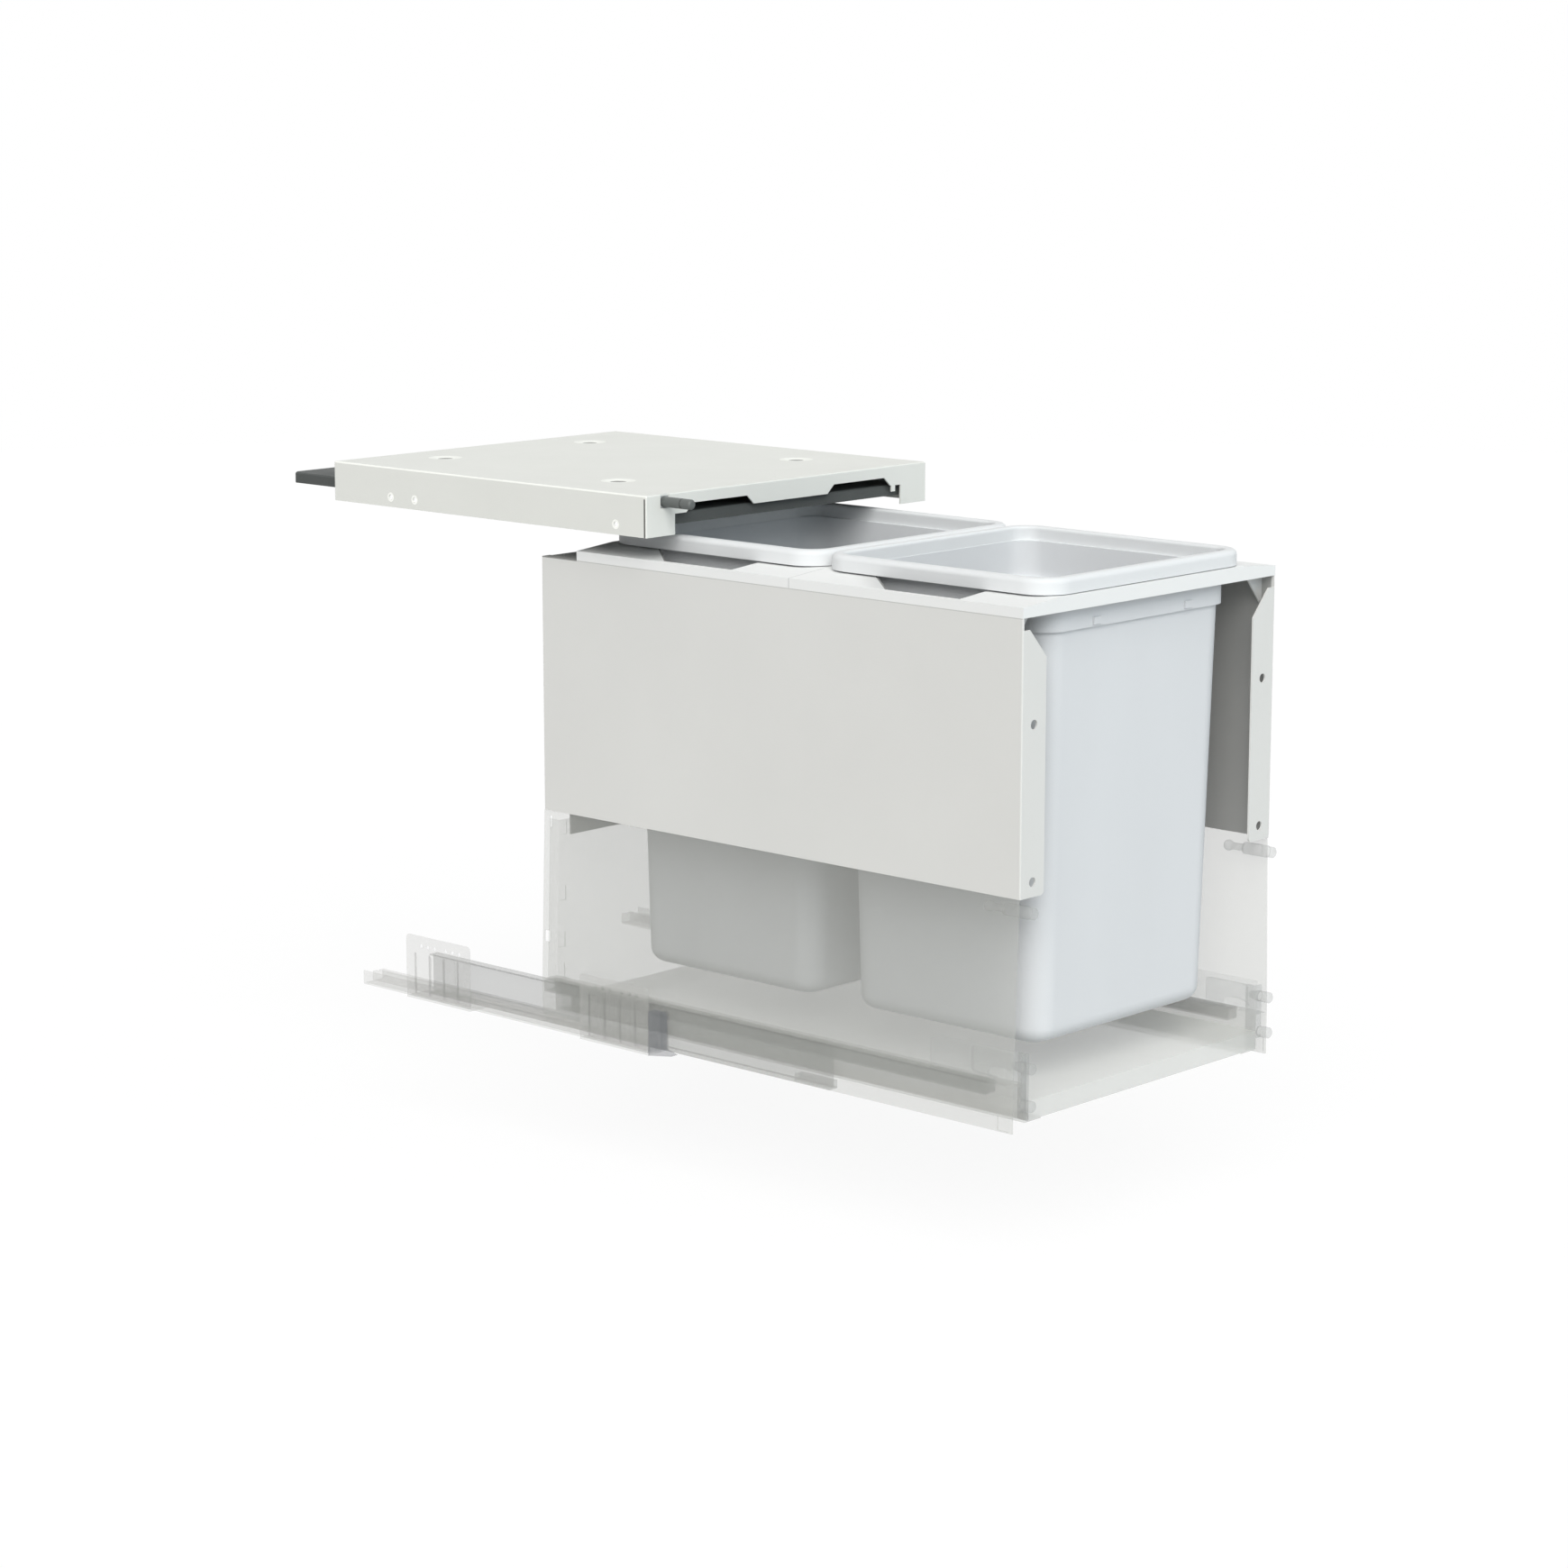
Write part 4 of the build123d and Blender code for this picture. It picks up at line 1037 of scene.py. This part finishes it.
@dataclass
class Studio:
    """A pale floor, an even pale sky, a key lamp from the front left and a cool weak one in front.

    Attributes:
        sky: Strength of the sky on the object.
        drop: Height of the object's lowest point over the floor, in metres.
        paper: Grey of the floor.
        mottle: How far that grey wanders up and down.
        radius: The floor's radius, in metres.
        corners: How many corners its rim has.
        shadow: Share of the floor's own shading that the camera sees; the rest is white.
        white: Strength of that white, which brings the unshaded floor up to the background.
    """

    sky: float = 0.4
    drop: float = 0.12
    paper: float = 0.62
    mottle: float = 0.01
    radius: float = 6.0
    corners: int = 64
    shadow: float = 0.18
    white: float = 1.1

    def build(self) -> None:
        """Set how colours and layers show, and make the sky, the lamps and the floor."""
        bpy.context.scene.view_settings.view_transform = "Standard"
        bpy.context.scene.cycles.transparent_max_bounces = LAYERS_SEEN
        self.make_sky()
        KEY_LAMP.build()
        FRONT_LAMP.build()
        self.make_floor()

    def seen(self, graph: Graph) -> bpy.types.NodeSocket:
        """Return 1 for the rays that look at the surroundings, straight or through gloss or glass."""
        path = graph.node("ShaderNodeLightPath").outputs
        gloss = graph.math("MAXIMUM", path["Is Glossy Ray"], path["Is Transmission Ray"])
        return graph.math("MAXIMUM", path["Is Camera Ray"], gloss)

    def make_sky(self) -> None:
        """Make an even sky, pure white where it is looked at."""
        world = bpy.data.worlds.new("sky")
        graph = emptied(world)
        white = graph.math("MULTIPLY", self.seen(graph), 1.0 - self.sky)
        strength = graph.math("ADD", white, self.sky)
        light = graph.node("ShaderNodeBackground", Color=(1, 1, 1, 1), Strength=strength)
        graph.node("ShaderNodeOutputWorld", Surface=light.outputs[0])
        bpy.context.scene.world = world

    def make_floor(self) -> None:
        """Make a broad disc below the object, nearly white, that keeps a faint shadow.

        Its rim is x = r cos t, y = r sin t, where r is the radius and t goes once round.
        """
        low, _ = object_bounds()
        turn = np.linspace(0, 2 * np.pi, self.corners, endpoint=False)
        level = np.full_like(turn, low[2] - self.drop)
        rim = np.stack([self.radius * np.cos(turn), self.radius * np.sin(turn), level], axis=1)
        mesh = bpy.data.meshes.new("floor")
        mesh.from_pydata(rim.tolist(), [], [list(range(self.corners))])
        floor = bpy.data.objects.new("floor", mesh)
        bpy.context.scene.collection.objects.link(floor)
        mesh.materials.append(self.floor_material())
        floor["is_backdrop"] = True

    def floor_material(self) -> bpy.types.Material:
        """Return the floor's matt grey paper, mixed with plain white where it is looked at."""
        made = bpy.data.materials.new("floor_paper")
        graph = emptied(made)
        place = graph.node("ShaderNodeTexCoord").outputs["Object"]
        fibre = graph.noise(place, *PAPER_NOISE)
        grey = graph.spread(fibre, self.paper - self.mottle, self.paper + self.mottle)
        tone = graph.node("ShaderNodeCombineColor", Red=grey, Green=grey, Blue=grey).outputs[0]
        paper = graph.node("ShaderNodeBsdfDiffuse", Color=tone)
        white = graph.node("ShaderNodeEmission", Color=(1, 1, 1, 1), Strength=self.white)
        share = graph.math("MULTIPLY", self.seen(graph), 1.0 - self.shadow)
        mix = graph.node("ShaderNodeMixShader", Fac=share)
        graph.feed(mix.inputs[1], paper.outputs[0])
        graph.feed(mix.inputs[2], white.outputs[0])
        graph.node("ShaderNodeOutputMaterial", Surface=mix.outputs[0])
        return made


def main() -> None:
    """Load the frame and build each class of the scene in order."""
    logging.basicConfig(level=logging.INFO, format="%(name)s %(message)s")
    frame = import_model()
    PhotoCamera().build()
    dresser = Dresser(frame["nodes"])
    for part in (Lid(dresser), Frame(dresser), Bins(dresser), DrawerSystem(dresser)):
        part.build()
        log.info("%s is built", type(part).__name__)
    Studio().build()


if __name__ == "__main__":
    main()
